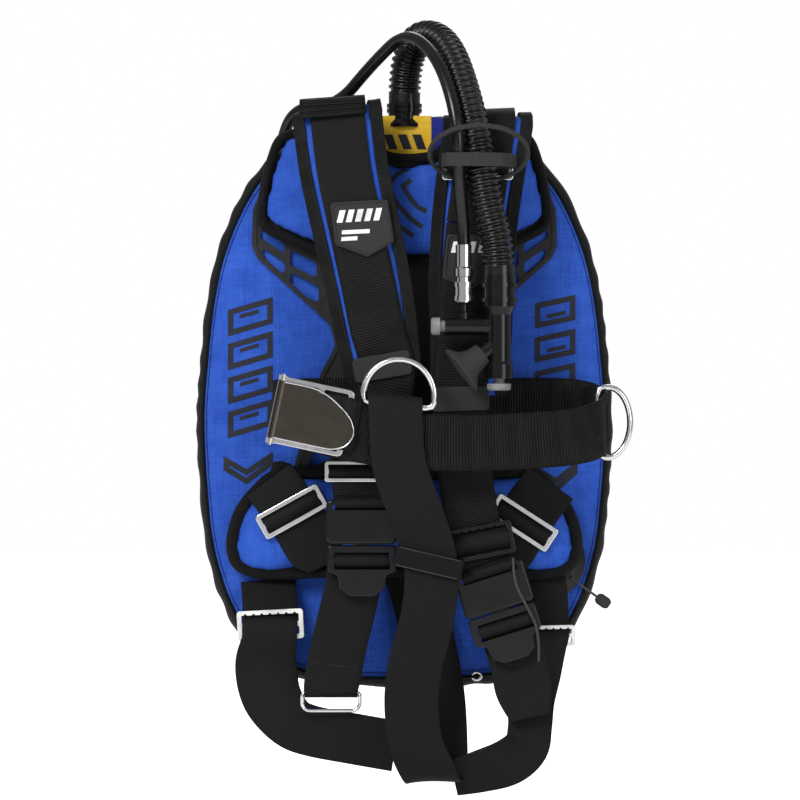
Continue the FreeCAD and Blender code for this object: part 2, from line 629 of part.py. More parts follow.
body = revolved([(10.5, 66), (15, 66), (15, 38), (12.6, 34), (11, 31), (11, -11), (12.8, -13.5), (12.8, -26),
                 (5.3, -26), (5.3, 0), (8, 3), (8, 62), (10.5, 64)], BARREL, V(0, 0, 1))
VALVE_Z = 20.7
side_barrel = cylinder(8.2, V(36, INFLATOR_Y, VALVE_Z), V(80, INFLATOR_Y, VALVE_Z))
nipple = revolved([(0, 0), (5.2, 0), (5.2, 11), (4.0, 12), (4.0, 18), (3.3, 19), (3.3, 21), (4.0, 22), (4.0, 26), (0, 26)],
                  V(52.6, INFLATOR_Y, VALVE_Z + 1), V(0, 0, 1))
mouth_from = V(80, INFLATOR_Y - 2, 4)
mouth_to = V(52, INFLATOR_Y - 7, -17)
mouth_dir = (mouth_to - mouth_from).normalize()
stub = cylinder(7.0, mouth_from, mouth_from + mouth_dir * 22)
body = body.fuse(side_barrel).fuse(nipple).fuse(stub)
body = body.cut(cylinder(5.3, V(30, INFLATOR_Y, VALVE_Z), V(56, INFLATOR_Y, VALVE_Z)))
body = body.cut(cylinder(5.3, BARREL + V(0, 0, -30), BARREL + V(0, 0, 0)))
save("inflator_body", body)

inflate = revolved([(0, 0), (6.4, 0), (7.8, 1.4), (7.8, 8), (5.0, 8), (5.0, 25), (0, 25)],
                   V(23.6, INFLATOR_Y, VALVE_Z), V(1, 0, 0))
save("inflate_button", inflate)
exhaust = revolved([(0, 0), (9.4, 0), (10.8, 1.6), (10.8, 6), (5.0, 6), (5.0, 28), (0, 28)],
                   BARREL + V(0, 0, -36.5), V(0, 0, 1))
save("exhaust_button", exhaust)

mouth_base = mouth_from + mouth_dir * 14
sleeve = pipe(9.6, 7.2, mouth_base, mouth_to)
flange = Part.makeCylinder(11.5, 5, V(0, 0, 0), V(0, 0, 1)).cut(Part.makeCylinder(7.2, 9, V(0, 0, -2)))
stretch = FreeCAD.Matrix()
stretch.scale(1.0, 1.62, 1.0)
oval = Part.makeCylinder(11.5, 5, V(0, 0, 0), V(0, 0, 1)).transformGeometry(stretch)
oval = oval.cut(Part.makeCylinder(7.2, 20, V(0, 0, -5), V(0, 0, 1)))
oval_turn = FreeCAD.Rotation(V(0, 0, 1), mouth_dir)
oval.Placement = FreeCAD.Placement(mouth_to - mouth_dir * 2, oval_turn.multiply(FreeCAD.Rotation(V(0, 0, 1), 20)))
save("mouthpiece", sleeve.fuse(oval).cut(body))

QD = V(52.6, INFLATOR_Y, 0)
qd_body = revolved([(4.4, 42), (7.0, 42), (7.0, 64), (8.6, 65), (8.6, 72), (7.2, 73.5), (7.2, 93), (3, 93), (3, 52), (4.4, 52)],
                   QD, V(0, 0, 1))
save("qd_body", qd_body)
qd_sleeve = pipe(9.6, 7.4, QD + V(0, 0, 43), QD + V(0, 0, 60))
qd_sleeve = qd_sleeve.cut(pipe(12, 8.7, QD + V(0, 0, 47.5), QD + V(0, 0, 55.5)))
save("qd_sleeve", qd_sleeve)

lp_route = [
    V(52.6, INFLATOR_Y, 93), V(52.6, INFLATOR_Y, 112), V(48.5, -99, 150), V(47, -107, 205), V(30, -76, 262), V(2, -36, 289),
    V(-30, -8, 260), V(-62, 12, 223), V(-106, 34, 224), V(-118, 66, 168), V(-118, 70, 114), V(-117, 71, 64),
]
save("lp_hose", tube(lp_route, LP_R, 2.5, "lp_hose"))
end_dir = (lp_route[-1] - lp_route[-2]).normalize()
fitting = revolved([(0, 0), (7.0, 0), (7.0, 18), (5.0, 19), (5.0, 22), (4.6, 22), (4.6, 34), (3.0, 34), (3.0, 4), (0, 4)],
                   lp_route[-1], end_dir)
hexagon = Part.makePolygon([V(8.2 * math.cos(math.radians(60 * k)), 8.2 * math.sin(math.radians(60 * k)), 0)
                            for k in range(7)])
nut = Part.Face(hexagon).extrude(V(0, 0, 6)).cut(Part.makeCylinder(3.0, 10, V(0, 0, -1)))
nut.Placement = FreeCAD.Placement(lp_route[-1] + end_dir * 18.5, FreeCAD.Rotation(V(0, 0, 1), end_dir))
save("lp_fitting", fitting.fuse(nut))

keeper_plan = [V(33, -66.4, 0), V(100, -66.4, 0), V(100, -76, 0), V(88, -106, 0), V(58, -113, 0),
               V(38, -112, 0), V(33, -98, 0)]
hose_band = band_of(corner_wire(keeper_plan, 7), corner_wire(keeper_plan, 7).makeOffset2D(-1.4))
save("hose_keeper", hose_band.extrude(V(0, 0, 12)).translated(V(0, 0, 162)))

ring_points = []
for k in range(12):
    a = 2 * math.pi * k / 12
    ring_points.append(V(66 + 45 * math.cos(a), -94 - 26 * math.sin(a), 174 + 24 * math.sin(a)))
save("bungee_ring", ring_rod(ring_points, 30, 2.2))

# ---------------------------------------------------------------- dump valve
valve_axis = V(0, -1, 0)
opv_body = revolved([(0, 0), (26, 0), (28, 0), (28, 12.2), (36, 12.2), (36, 14.7), (28, 15.4), (28, 19.8), (26, 21.8),
                     (0, 21.8), (0, 19.8), (25, 19.8), (25, 2), (0, 2)],
                    V(OPV.x, 16, OPV.z), valve_axis)
pull_dir = V(52.5, 0, -37.6).normalize()
CORD_Y = -1.4
pull_at = V(OPV.x, CORD_Y, OPV.z)
opv_body = opv_body.cut(cylinder(1.7, pull_at + pull_dir * 20, pull_at + pull_dir * 40))
save("opv_body", opv_body)
poppet = revolved([(0, 0), (22, 0), (22, 1.6), (4, 2), (4, 5), (0, 5)], V(OPV.x, 12, OPV.z), valve_axis)
save("opv_poppet", poppet)
spring = pipe(8.0, 6.8, V(OPV.x, 9.9, OPV.z), V(OPV.x, -3.7, OPV.z))
save("opv_spring", spring)
save("opv_pull_cord", cylinder(1.2, pull_at + pull_dir * 12, pull_at + pull_dir * 57))
toggle = revolved([(0, 0), (3.4, 0), (5.4, 3), (5.4, 11), (3.4, 14), (0, 14)], pull_at + pull_dir * 57, pull_dir)
save("opv_toggle", toggle)

release_route = [V(97, -74.6, -186), V(97, -76, -206), V(108, -77, -227), V(121, -74, -252), V(120, -68, -279)]
save("release_cord", tube(release_route, 1.2, 0.0, "release_cord"))

# ---------------------------------------------------------------- tank bands
def band_plan(offset):
    """Closed plan of a tank band at an offset from its middle surface."""
    middle = TANK_R + WEB_T / 2
    r = middle + offset
    tank = V(0, TANK_Y, 0)
    front_y = 2.0 - offset
    corner = V(66, 2.0, 0)
    distance = (corner - tank).Length
    base = math.atan2(corner.y - tank.y, corner.x)
    angle = base + math.acos(middle / distance)
    normal = V(math.cos(angle), math.sin(angle), 0)
    touch = tank + normal * r
    along = V(-normal.y, normal.x, 0)
    step = (touch.y - front_y) / along.y
    knee = touch - along * step
    left_touch = V(-touch.x, touch.y, 0)
    left_knee = V(-knee.x, knee.y, 0)
    back = tank + V(0, r, 0)
    return Part.Wire([
        Part.LineSegment(left_knee, knee).toShape(),
        Part.LineSegment(knee, touch).toShape(),
        Part.Arc(touch, back, left_touch).toShape(),
        Part.LineSegment(left_touch, left_knee).toShape(),
    ])


band_face = band_of(band_plan(WEB_T / 2), band_plan(-WEB_T / 2))
bands = []
cam_frames = []


def sector(inner, outer, start, end, low, high):
    """Curved plate about the tank axis between two angles in degrees."""
    ring = Part.makeCylinder(outer, high - low, V(0, TANK_Y, low), V(0, 0, 1), end - start)
    hole = Part.makeCylinder(inner, high - low, V(0, TANK_Y, low), V(0, 0, 1), end - start)
    piece = ring.cut(hole)
    piece.rotate(V(0, TANK_Y, 0), V(0, 0, 1), start)
    return piece


pin_r = TANK_R + WEB_T + 8.8
pin_angle = math.radians(112)
PIN = V(pin_r * math.cos(pin_angle), TANK_Y + pin_r * math.sin(pin_angle), 0)
print("cam pin at", PIN - ORIGIN)
for label, z in (("upper", BAND_UPPER_Z), ("lower", BAND_LOWER_Z)):
    lift = V(0, 0, z)
    bands.append(band_face.extrude(V(0, 0, WEB)).translated(lift - V(0, 0, WEB / 2)))
    cam = sector(95.0, 98.0, 66, 114, -30, 30)
    cam = cam.cut(sector(90, 99, 84, 92, -26, 26)).cut(sector(90, 99, 72, 78, -26, 26))
    for sign in (-1, 1):
        ear = Part.makeCylinder(6.6, 3, PIN + V(0, 0, sign * 28.5 - 1.5))
        cam = cam.fuse(ear)
    cam = cam.fuse(cylinder(2.5, PIN + V(0, 0, -29), PIN + V(0, 0, 29)))
    cam = cam.cut(Part.makeCylinder(94.8, 80, V(0, TANK_Y, -40)))
    cam_frames.append(cam.translated(lift))
    lever = sector(102.2, 104.6, 74, 112, -24, 24)
    lever = lever.fuse(cylinder(4.7, PIN + V(0, 0, -25.5), PIN + V(0, 0, 25.5)))
    lever = lever.cut(cylinder(2.6, PIN + V(0, 0, -40), PIN + V(0, 0, 40)))
    lever = lever.cut(sector(100, 106, 82, 100, -14, 14))
    save("cam_lever_" + label, lever.translated(lift))
save("tank_bands", Part.makeCompound(bands))
save("cam_frames", Part.makeCompound(cam_frames))
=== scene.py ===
"""Looks of a diving buoyancy vest: wing, backplate, padded harness, inflator and tank bands.

Lengths are given in millimetres in the plate frame (X across the shoulders, Y from the
wearer's front to the tank, Z up, zero at the backplate's centre) and turned into metres in
the model's frame by ``at``.
"""

import logging
import math
from dataclasses import dataclass
from enum import Enum
from typing import Callable, Sequence

import bmesh
import bpy
from mathutils import Matrix, Vector, noise
from mathutils.bvhtree import BVHTree


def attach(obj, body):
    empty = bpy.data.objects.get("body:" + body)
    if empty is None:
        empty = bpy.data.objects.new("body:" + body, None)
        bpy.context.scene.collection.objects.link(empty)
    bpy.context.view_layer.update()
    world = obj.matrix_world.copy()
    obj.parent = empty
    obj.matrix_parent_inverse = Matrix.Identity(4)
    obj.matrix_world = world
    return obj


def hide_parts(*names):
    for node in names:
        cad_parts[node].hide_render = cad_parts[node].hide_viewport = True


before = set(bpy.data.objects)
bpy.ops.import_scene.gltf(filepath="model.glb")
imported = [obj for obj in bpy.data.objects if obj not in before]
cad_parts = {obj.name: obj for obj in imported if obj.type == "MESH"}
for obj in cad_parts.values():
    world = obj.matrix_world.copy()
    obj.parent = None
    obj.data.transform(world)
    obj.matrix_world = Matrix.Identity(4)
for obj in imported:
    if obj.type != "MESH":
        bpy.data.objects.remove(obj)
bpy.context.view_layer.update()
LOG = logging.getLogger("vest")
TANK_AXIS_Y = 112.0
UPPER_BAND_Z = 90.0
LOWER_BAND_Z = -70.0
WING_MIDDLE_Z = -46.0
VALVE_X, VALVE_Z = 129.0, -191.0
CORD_RADIUS = 1.2
LP_HOSE_RADIUS = 5.5
WAVE_SCALE_PER_BAND = math.pi / 10.0
CLOTH_STEPS = 20
SIDES = ("left", "right")
FORWARD = Vector((0, -1, 0))
BACKWARD = Vector((0, 1, 0))

Point = tuple[float, float, float]
Flat = tuple[float, float]


def at(x: float, y: float, z: float) -> Vector:
    """Turn a place in the plate frame, in millimetres, into the model's frame in metres."""
    return Vector((x, y - TANK_AXIS_Y, z - UPPER_BAND_Z)) / 1000.0


def mm(value: float) -> float:
    """Turn millimetres into metres."""
    return value / 1000.0


def smoothstep(low: float, high: float, value: float) -> float:
    """Ease from 0 below ``low`` to 1 above ``high``."""
    t = min(1.0, max(0.0, (value - low) / (high - low)))
    return t * t * (3.0 - 2.0 * t)


# ------------------------------------------------------------------ curves through points
class Spline:
    """A smooth line through control values, each a tuple of numbers of one length."""

    def __init__(self, values: Sequence[Sequence[float]], closed: bool = False) -> None:
        """Keep the control values as plain numbers."""
        self.values = [tuple(float(v) for v in value) for value in values]
        self.closed = closed

    def __call__(self, t: float) -> tuple[float, ...]:
        """Values at t, from 0 at the first control value to 1 at the last.

        Args:
            t: share of the line's run of control values.

        Returns:
            The interpolated numbers.
        """
        count = len(self.values)
        spans = count if self.closed else count - 1
        place = (t % 1.0 if self.closed else min(max(t, 0.0), 1.0)) * spans
        i = min(int(place), spans - 1)
        f = place - i

        def pick(k: int) -> tuple[float, ...]:
            """Control value at a place, held or wrapped at the ends."""
            if self.closed:
                return self.values[k % count]
            return self.values[min(max(k, 0), count - 1)]

        p0, p1, p2, p3 = pick(i - 1), pick(i), pick(i + 1), pick(i + 2)
        out = []
        for a, b, c, d in zip(p0, p1, p2, p3):
            bend = 2 * a - 5 * b + 4 * c - d + f * (3 * (b - c) + d - a)
            out.append(b + 0.5 * f * (c - a + f * bend))
        return tuple(out)

    def even(self, count: int, axes: int = 3) -> list[tuple[float, ...]]:
        """Values at even steps of length along the first ``axes`` numbers.

        Args:
            count: how many values to return.
            axes: how many of the numbers are a place in space.

        Returns:
            The values, without a repeat of the first one on a closed line.
        """
        fine = 16 * len(self.values)
        last = self.values[0] if self.closed else self(1.0)
        samples = [self(k / fine) for k in range(fine)] + [last]
        lengths = [0.0]
        for a, b in zip(samples, samples[1:]):
            lengths.append(lengths[-1] + math.dist(a[:axes], b[:axes]))
        total = lengths[-1]
        steps = count if self.closed else count - 1
        out = []
        k = 0
        for i in range(count):
            want = total * i / steps
            while k < len(lengths) - 2 and lengths[k + 1] < want:
                k += 1
            share = (want - lengths[k]) / max(lengths[k + 1] - lengths[k], 1e-9)
            out.append(tuple(p + (q - p) * share for p, q in zip(samples[k], samples[k + 1])))
        return out

    def length(self, axes: int = 3) -> float:
        """Length of the line over its first ``axes`` numbers."""
        fine = 16 * len(self.values)
        samples = [self(k / fine * 0.999999 if self.closed else k / fine) for k in range(fine + 1)]
        return sum(math.dist(a[:axes], b[:axes]) for a, b in zip(samples, samples[1:]))


# ------------------------------------------------------------------ finishes
class Nodes:
    """Short hand for building one material's node tree."""

    def __init__(self, name: str) -> None:
        """Start a material with its shader and coordinates."""
        self.material = bpy.data.materials.new(name)
        self.material.use_nodes = True
        self.tree = self.material.node_tree
        self.shader = self.tree.nodes["Principled BSDF"]
        self.coords = self.tree.nodes.new("ShaderNodeTexCoord")

    def add(self, kind: str, **settings: object) -> bpy.types.Node:
        """Add a node of a kind and set its properties.

        Args:
            kind: the node's type without its ShaderNode prefix.
            settings: properties of the node.

        Returns:
            The new node.
        """
        node = self.tree.nodes.new("ShaderNode" + kind)
        for key, value in settings.items():
            setattr(node, key, value)
        return node

    def link(self, source: bpy.types.NodeSocket, target: bpy.types.NodeSocket) -> None:
        """Join two sockets."""
        self.tree.links.new(source, target)

    def set(self, **values: object) -> None:
        """Set sockets of the surface shader, with underscores for spaces."""
        for key, value in values.items():
            self.shader.inputs[key.replace("_", " ")].default_value = value

    def place(self, uv: bool = False, scale: Point = (1, 1, 1),
              turn: Point = (0, 0, 0)) -> bpy.types.NodeSocket:
        """Coordinates on the object, or on its own map in metres, scaled and turned."""
        mapping = self.add("Mapping")
        mapping.inputs["Scale"].default_value = scale
        mapping.inputs["Rotation"].default_value = turn
        self.link(self.coords.outputs["UV" if uv else "Object"], mapping.inputs["Vector"])
        return mapping.outputs["Vector"]

    def noise(self, where: bpy.types.NodeSocket, scale: float, detail: float = 3.0,
              rough: float = 0.55) -> bpy.types.NodeSocket:
        """Value of a noise texture."""
        node = self.add("TexNoise")
        node.inputs["Scale"].default_value = scale
        node.inputs["Detail"].default_value = detail
        node.inputs["Roughness"].default_value = rough
        self.link(where, node.inputs["Vector"])
        return node.outputs["Fac"]

    def wave(self, where: bpy.types.NodeSocket, scale: float, axis: str = "X",
             distortion: float = 0.0) -> bpy.types.NodeSocket:
        """Value of a band texture with the given number of bands each metre."""
        node = self.add("TexWave", wave_type="BANDS", bands_direction=axis, wave_profile="SIN")
        node.inputs["Scale"].default_value = scale * WAVE_SCALE_PER_BAND
        node.inputs["Distortion"].default_value = distortion
        node.inputs["Detail"].default_value = 1.0
        self.link(where, node.inputs["Vector"])
        return node.outputs["Fac"]

    def math(self, operation: str, *values: object) -> bpy.types.NodeSocket:
        """Result of a math node on sockets or numbers."""
        node = self.add("Math", operation=operation)
        for value, socket in zip(values, node.inputs):
            if isinstance(value, bpy.types.NodeSocket):
                self.link(value, socket)
            else:
                socket.default_value = value
        return node.outputs[0]

    def tint(self, factor: bpy.types.NodeSocket,
             *stops: tuple[float, Sequence[float]]) -> None:
        """Colour the surface from a factor by a ramp of (position, colour) stops."""
        node = self.add("ValToRGB")
        elements = node.color_ramp.elements
        while len(elements) < len(stops):
            elements.new(0.5)
        for element, (position, colour) in zip(elements, stops):
            element.position = position
            element.color = (*colour, 1.0)
        self.link(factor, node.inputs["Fac"])
        self.link(node.outputs["Color"], self.shader.inputs["Base Color"])

    def uneven_gloss(self, factor: bpy.types.NodeSocket, low: float, high: float) -> None:
        """Vary the roughness from low to high by a factor."""
        swing = self.add("MapRange")
        swing.inputs["To Min"].default_value = low
        swing.inputs["To Max"].default_value = high
        self.link(factor, swing.inputs["Value"])
        self.link(swing.outputs["Result"], self.shader.inputs["Roughness"])

    def bump(self, height: bpy.types.NodeSocket, depth_mm: float, strength: float = 1.0) -> None:
        """Add relief of a depth in millimetres on top of any relief the shader has."""
        node = self.add("Bump")
        node.inputs["Strength"].default_value = strength
        node.inputs["Distance"].default_value = mm(depth_mm)
        self.link(height, node.inputs["Height"])
        normal = self.shader.inputs["Normal"]
        if normal.links:
            self.link(normal.links[0].from_socket, node.inputs["Normal"])
        self.link(node.outputs["Normal"], normal)


@dataclass(frozen=True)
class Finish:
    """A named surface finish, with the name of one material slot of the record, which nothing here
    reads.
    """

    name: str
    slot: str
    base: tuple[float, float, float] = (0.02, 0.02, 0.02)
    rough: float = 0.6

    def build(self) -> bpy.types.Material:
        """Build the material's nodes."""
        nodes = Nodes(self.name)
        nodes.set(Base_Color=(*self.base, 1.0), Roughness=self.rough)
        self.dress(nodes)
        return nodes.material

    def shade(self, factor: float) -> tuple[float, ...]:
        """The base colour made darker or lighter."""
        return tuple(min(1.0, c * factor) for c in self.base)

    def dress(self, nodes: Nodes) -> None:
        """Add this finish's own nodes."""
        where = nodes.place()
        nodes.bump(nodes.noise(where, 900.0), 0.03, 0.4)


@dataclass(frozen=True)
class PanelCloth(Finish):
    """Coated plain-weave nylon with a faint slub and soft mottling."""

    dark: tuple[float, float, float] = (0.01, 0.05, 0.3)
    light: tuple[float, float, float] = (0.03, 0.14, 0.65)
    threads_per_metre: float = 900.0
    weave_depth: float = 0.12

    def dress(self, nodes: Nodes) -> None:
        """Mottle the dye, then add warp, weft and slubs."""
        where = nodes.place()
        broad = nodes.noise(where, 45.0, 4.0, 0.6)
        slub_x = nodes.noise(nodes.place(scale=(30, 300, 900)), 1.0, 3.0, 0.7)
        slub_z = nodes.noise(nodes.place(scale=(900, 300, 30)), 1.0, 3.0, 0.7)
        slub = nodes.math("MULTIPLY", nodes.math("ADD", slub_x, slub_z), 0.5)
        blend = nodes.math("ADD", nodes.math("MULTIPLY", broad, 0.35),
                           nodes.math("MULTIPLY", slub, 0.65))
        middle = tuple((a + b) / 2 for a, b in zip(self.dark, self.light))
        nodes.tint(blend, (0.34, self.dark), (0.5, middle), (0.66, self.light))
        warp = nodes.wave(where, self.threads_per_metre, "X")
        weft = nodes.wave(where, self.threads_per_metre, "Z")
        nodes.bump(nodes.math("MULTIPLY", warp, weft), self.weave_depth, 0.6)
        nodes.bump(slub, 0.25, 0.5)
        nodes.bump(nodes.noise(where, 28.0, 5.0, 0.55), 1.6, 0.35)
        nodes.set(Sheen_Weight=0.04, Sheen_Roughness=0.5, Specular_IOR_Level=0.16)


@dataclass(frozen=True)
class Webbing(Finish):
    """Woven strap: fine ribs across and selvedge cords along, on the piece's own map."""

    rib_pitch: float = 1.5
    rib_depth: float = 0.35

    def dress(self, nodes: Nodes) -> None:
        """Lay the ribs and the warp threads, with painted highlights on the rib crests, painted
        shade in the troughs and a random fuzz tone.
        """
        where = nodes.place(uv=True)
        ribs = nodes.wave(where, 1000.0 / self.rib_pitch, "Y")
        warp = nodes.wave(where, 1400.0, "X")
        fuzz = nodes.noise(nodes.place(), 1400.0, 2.0, 0.6)
        threads = nodes.math("ADD", nodes.math("MULTIPLY", warp, 0.45), 0.55)
        weave = nodes.math("MULTIPLY", ribs, threads)
        # painted highlight on the rib crests and painted shade in the troughs, mixed with a random
        # fuzz tone
        rib_shade_and_fuzz = nodes.math("ADD", nodes.math("MULTIPLY", weave, 0.6),
                          nodes.math("MULTIPLY", fuzz, 0.5))
        nodes.tint(rib_shade_and_fuzz, (0.15, self.shade(0.45)), (0.55, self.base), (0.95, self.shade(1.9)))
        nodes.bump(weave, self.rib_depth, 0.8)
        nodes.bump(fuzz, 0.05, 0.5)
        nodes.set(Sheen_Weight=0.02, Sheen_Roughness=0.45, Specular_IOR_Level=0.16)


@dataclass(frozen=True)
class FoamCloth(Finish):
    """Knitted cloth laminated to foam, in black or blue."""

    def dress(self, nodes: Nodes) -> None:
        """Add a fine knit and gentle dents."""
        where = nodes.place()
        knit = nodes.math("MULTIPLY", *(nodes.wave(where, 800.0, axis, 0.4) for axis in "XZ"))
        tone = nodes.noise(where, 60.0, 4.0)
        nodes.tint(tone, (0.3, self.shade(0.6)), (0.7, self.shade(1.5)))
        nodes.bump(knit, 0.18, 0.7)
        nodes.bump(nodes.noise(where, 35.0, 3.0), 0.9, 0.3)
        nodes.set(Sheen_Weight=0.02, Sheen_Roughness=0.5, Specular_IOR_Level=0.15)


@dataclass(frozen=True)
class Moulding(Finish):
    """Moulded plastic or rubber with a fine grain and slightly uneven gloss."""

    grain: float = 0.04
    grain_scale: float = 1800.0
    gloss_swing: float = 0.12
    shine: float = 0.4

    def dress(self, nodes: Nodes) -> None:
        """Add the grain and vary the gloss."""
        where = nodes.place()
        nodes.bump(nodes.noise(where, self.grain_scale, 2.0), self.grain, 0.6)
        patch = nodes.noise(where, 55.0, 4.0, 0.6)
        nodes.uneven_gloss(patch, max(0.05, self.rough - self.gloss_swing),
                           min(1.0, self.rough + self.gloss_swing))
        nodes.tint(patch, (0.35, self.shade(0.8)), (0.65, self.shade(1.25)))
        nodes.set(Specular_IOR_Level=self.shine)


@dataclass(frozen=True)
class Steel(Finish):
    """Stainless steel, polished or brushed, with light handling marks."""

    brushed: float = 0.0

    def dress(self, nodes: Nodes) -> None:
        """Add brushing, faint smudges and fine scratches."""
        nodes.set(Metallic=1.0)
        where = nodes.place()
        smudge = nodes.noise(where, 70.0, 5.0, 0.65)
        nodes.uneven_gloss(smudge, max(0.04, self.rough - 0.08), self.rough + 0.14)
        grain = nodes.noise(nodes.place(scale=(60, 300, 3000)), 1.0, 3.0, 0.6)
        nodes.bump(grain, 0.02 + 0.05 * self.brushed, 0.25 + 0.4 * self.brushed)


class Palette(Enum):
    """Every finish of the vest."""

    BLUE = PanelCloth("blue_panel_cloth", "blue_nylon", (0.02, 0.085, 0.5), 0.62,
                      dark=(0.009, 0.045, 0.34), light=(0.034, 0.125, 0.6))
    NAVY = PanelCloth("navy_panel_cloth", "blue_nylon", (0.012, 0.02, 0.2), 0.62,
                      dark=(0.008, 0.014, 0.15), light=(0.02, 0.03, 0.28))
    BLACK_CLOTH = PanelCloth("black_panel_cloth", "black_nylon", (0.006, 0.006, 0.007), 0.6,
                             dark=(0.0035, 0.0035, 0.004), light=(0.01, 0.01, 0.011))
    YELLOW = PanelCloth("yellow_patch_cloth", "yellow_patch", (0.83, 0.52, 0.03), 0.6,
                        dark=(0.72, 0.42, 0.015), light=(0.9, 0.6, 0.06), threads_per_metre=1100.0)
    PRINT = Moulding("black_print", "black_nylon", (0.006, 0.008, 0.016), 0.6, grain=0.05,
                     grain_scale=900.0)
    BLUE_PAD = PanelCloth("blue_pad_cloth", "blue_pad", (0.022, 0.09, 0.5), 0.64,
                          dark=(0.01, 0.05, 0.36), light=(0.034, 0.125, 0.6))
    BINDING = Webbing("black_binding_tape", "black_pad", (0.005, 0.005, 0.0055), 0.7, rib_pitch=1.0,
                      rib_depth=0.2)
    PAD_BLACK = FoamCloth("black_pad_cloth", "black_pad", (0.006, 0.006, 0.0065), 0.75)
    WEB = Webbing("smooth_webbing", "webbing", (0.0048, 0.0048, 0.005), 0.6, rib_pitch=1.15,
                  rib_depth=0.22)
    RIBBED = Webbing("ribbed_webbing", "webbing", (0.0055, 0.0055, 0.0055), 0.55, rib_pitch=2.3,
                     rib_depth=0.3)
    # grey of the stitch thread, also used as the painted highlight on the crotch keeper's top and
    # bottom edges
    THREAD = Moulding("thread_and_painted_edge_highlight", "webbing", (0.03, 0.03, 0.033), 0.5)
    PLATE = Moulding("plate_nylon", "grey_polymer", (0.013, 0.013, 0.015), 0.5, grain=0.08,
                     grain_scale=1100.0, shine=0.3)
    PLASTIC = Moulding("black_acetal", "black_plastic", (0.004, 0.004, 0.0045), 0.2, grain=0.02,
                       gloss_swing=0.06, shine=0.34)
    GREY_PLASTIC = Moulding("grey_acetal", "grey_plastic", (0.2, 0.2, 0.205), 0.4)
    PALE_PLASTIC = Moulding("pale_slide", "pale_plastic", (0.74, 0.74, 0.72), 0.36)
    RUBBER = Moulding("black_rubber", "black_rubber", (0.006, 0.006, 0.0065), 0.42, grain=0.05,
                      gloss_swing=0.1,
                      shine=0.28)
    HOSE_SKIN = Moulding("hose_rubber", "black_rubber", (0.004, 0.004, 0.0045), 0.26, grain=0.02)
    WHITE_INK = Moulding("white_ink", "black_rubber", (0.8, 0.8, 0.8), 0.5)
    STEEL = Steel("polished_steel", "stainless", (0.78, 0.78, 0.79), 0.16)
    # stainless lever darkened as a painted dark reflection; the frame and pin keep the plain steel
    # colour
    BUCKLE = Steel("steel_painted_dark_reflection", "stainless", (0.14, 0.125, 0.105), 0.1)
    CHROME = Steel("chrome_plate", "chrome", (0.82, 0.82, 0.83), 0.1)
    SPRING = Steel("spring_wire", "spring_steel", (0.6, 0.6, 0.6), 0.25)
    CORD = Webbing("thin_cord_sheath", "thin_cord", (0.06, 0.06, 0.06), 0.6, rib_pitch=0.8,
                   rib_depth=0.1)

    @property
    def material(self) -> bpy.types.Material:
        """The finish's material, built on first use."""
        return bpy.data.materials.get(self.value.name) or self.value.build()


# ------------------------------------------------------------------ piece tools
def finish_piece(piece: bpy.types.Object, finish: Palette, body: str = "vest",
                 replaces: Sequence[str] = ()) -> bpy.types.Object:
    """Dress a piece, make it ride on its body and hide the solids it stands for.

    Args:
        piece: the finished object, with its place in its mesh.
        finish: the surface finish.
        body: the moving body it belongs to.
        replaces: nodes of the model that the piece stands for.

    Returns:
        The same object.
    """
    piece.data.materials.append(finish.material)
    if piece.type == "MESH":
        for face in piece.data.polygons:
            face.use_smooth = True
    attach(piece, body)
    if replaces:
        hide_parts(*replaces)
    LOG.info("piece %s", piece.name)
    return piece


def new_object(name: str, mesh: bmesh.types.BMesh) -> bpy.types.Object:
    """Turn a bmesh into an object in the scene."""
    data = bpy.data.meshes.new(name)
    mesh.to_mesh(data)
    mesh.free()
    piece = bpy.data.objects.new(name, data)
    bpy.context.scene.collection.objects.link(piece)
    return piece


def bake_modifiers(piece: bpy.types.Object) -> bpy.types.Object:
    """Apply a piece's modifiers to its mesh."""
    graph = bpy.context.evaluated_depsgraph_get()
    mesh = bpy.data.meshes.new_from_object(piece.evaluated_get(graph))
    piece.modifiers.clear()
    old = piece.data
    piece.data = mesh
    bpy.data.meshes.remove(old)
    return piece


def grid_piece(name: str, along: int, across: int, shape: Callable[[float, float], Vector],
               uv: Callable[[float, float], Flat] | None = None) -> bpy.types.Object:
    """Map a grid onto a surface.

    Args:
        name: the object's name.
        along: faces in the first direction.
        across: faces in the second direction.
        shape: place for two shares from 0 to 1.
        uv: map coordinates in metres for the same two shares.

    Returns:
        The new object.
    """
    mesh = bmesh.new()
    bmesh.ops.create_grid(mesh, x_segments=along, y_segments=across, size=0.5)
    shares = {vert: (vert.co.x + 0.5, vert.co.y + 0.5) for vert in mesh.verts}
    if uv is not None:
        layer = mesh.loops.layers.uv.new("weave")
        for face in mesh.faces:
            for loop in face.loops:
                loop[layer].uv = uv(*shares[loop.vert])
    for vert, (s, t) in shares.items():
        vert.co = shape(s, t)
    bmesh.ops.remove_doubles(mesh, verts=mesh.verts, dist=1e-6)
    return new_object(name, mesh)


def tube_line(name: str, points: Sequence[Vector], radius: float, closed: bool = False,
              sides: int = 10) -> bpy.types.Object:
    """Round bead or cord along a line, as a mesh.

    Args:
        name: the object's name.
        points: places along the line, in metres.
        radius: the bead's radius in metres.
        closed: whether the line closes.
        sides: faces around the bead.

    Returns:
        The new mesh object.
    """
    curve = bpy.data.curves.new(name + "_line", "CURVE")
    curve.dimensions = "3D"
    curve.bevel_depth = radius
    curve.bevel_resolution = max(1, sides // 4)
    curve.use_fill_caps = not closed
    spline = curve.splines.new("POLY")
    spline.points.add(len(points) - 1)
    for point, place in zip(spline.points, points):
        point.co = (*place, 1.0)
    spline.use_cyclic_u = closed
    holder = bpy.data.objects.new(name + "_line", curve)
    mesh = bpy.data.meshes.new_from_object(holder)
    bpy.data.objects.remove(holder)
    bpy.data.curves.remove(curve)
    mesh.name = name
    piece = bpy.data.objects.new(name, mesh)
    bpy.context.scene.collection.objects.link(piece)
    return piece


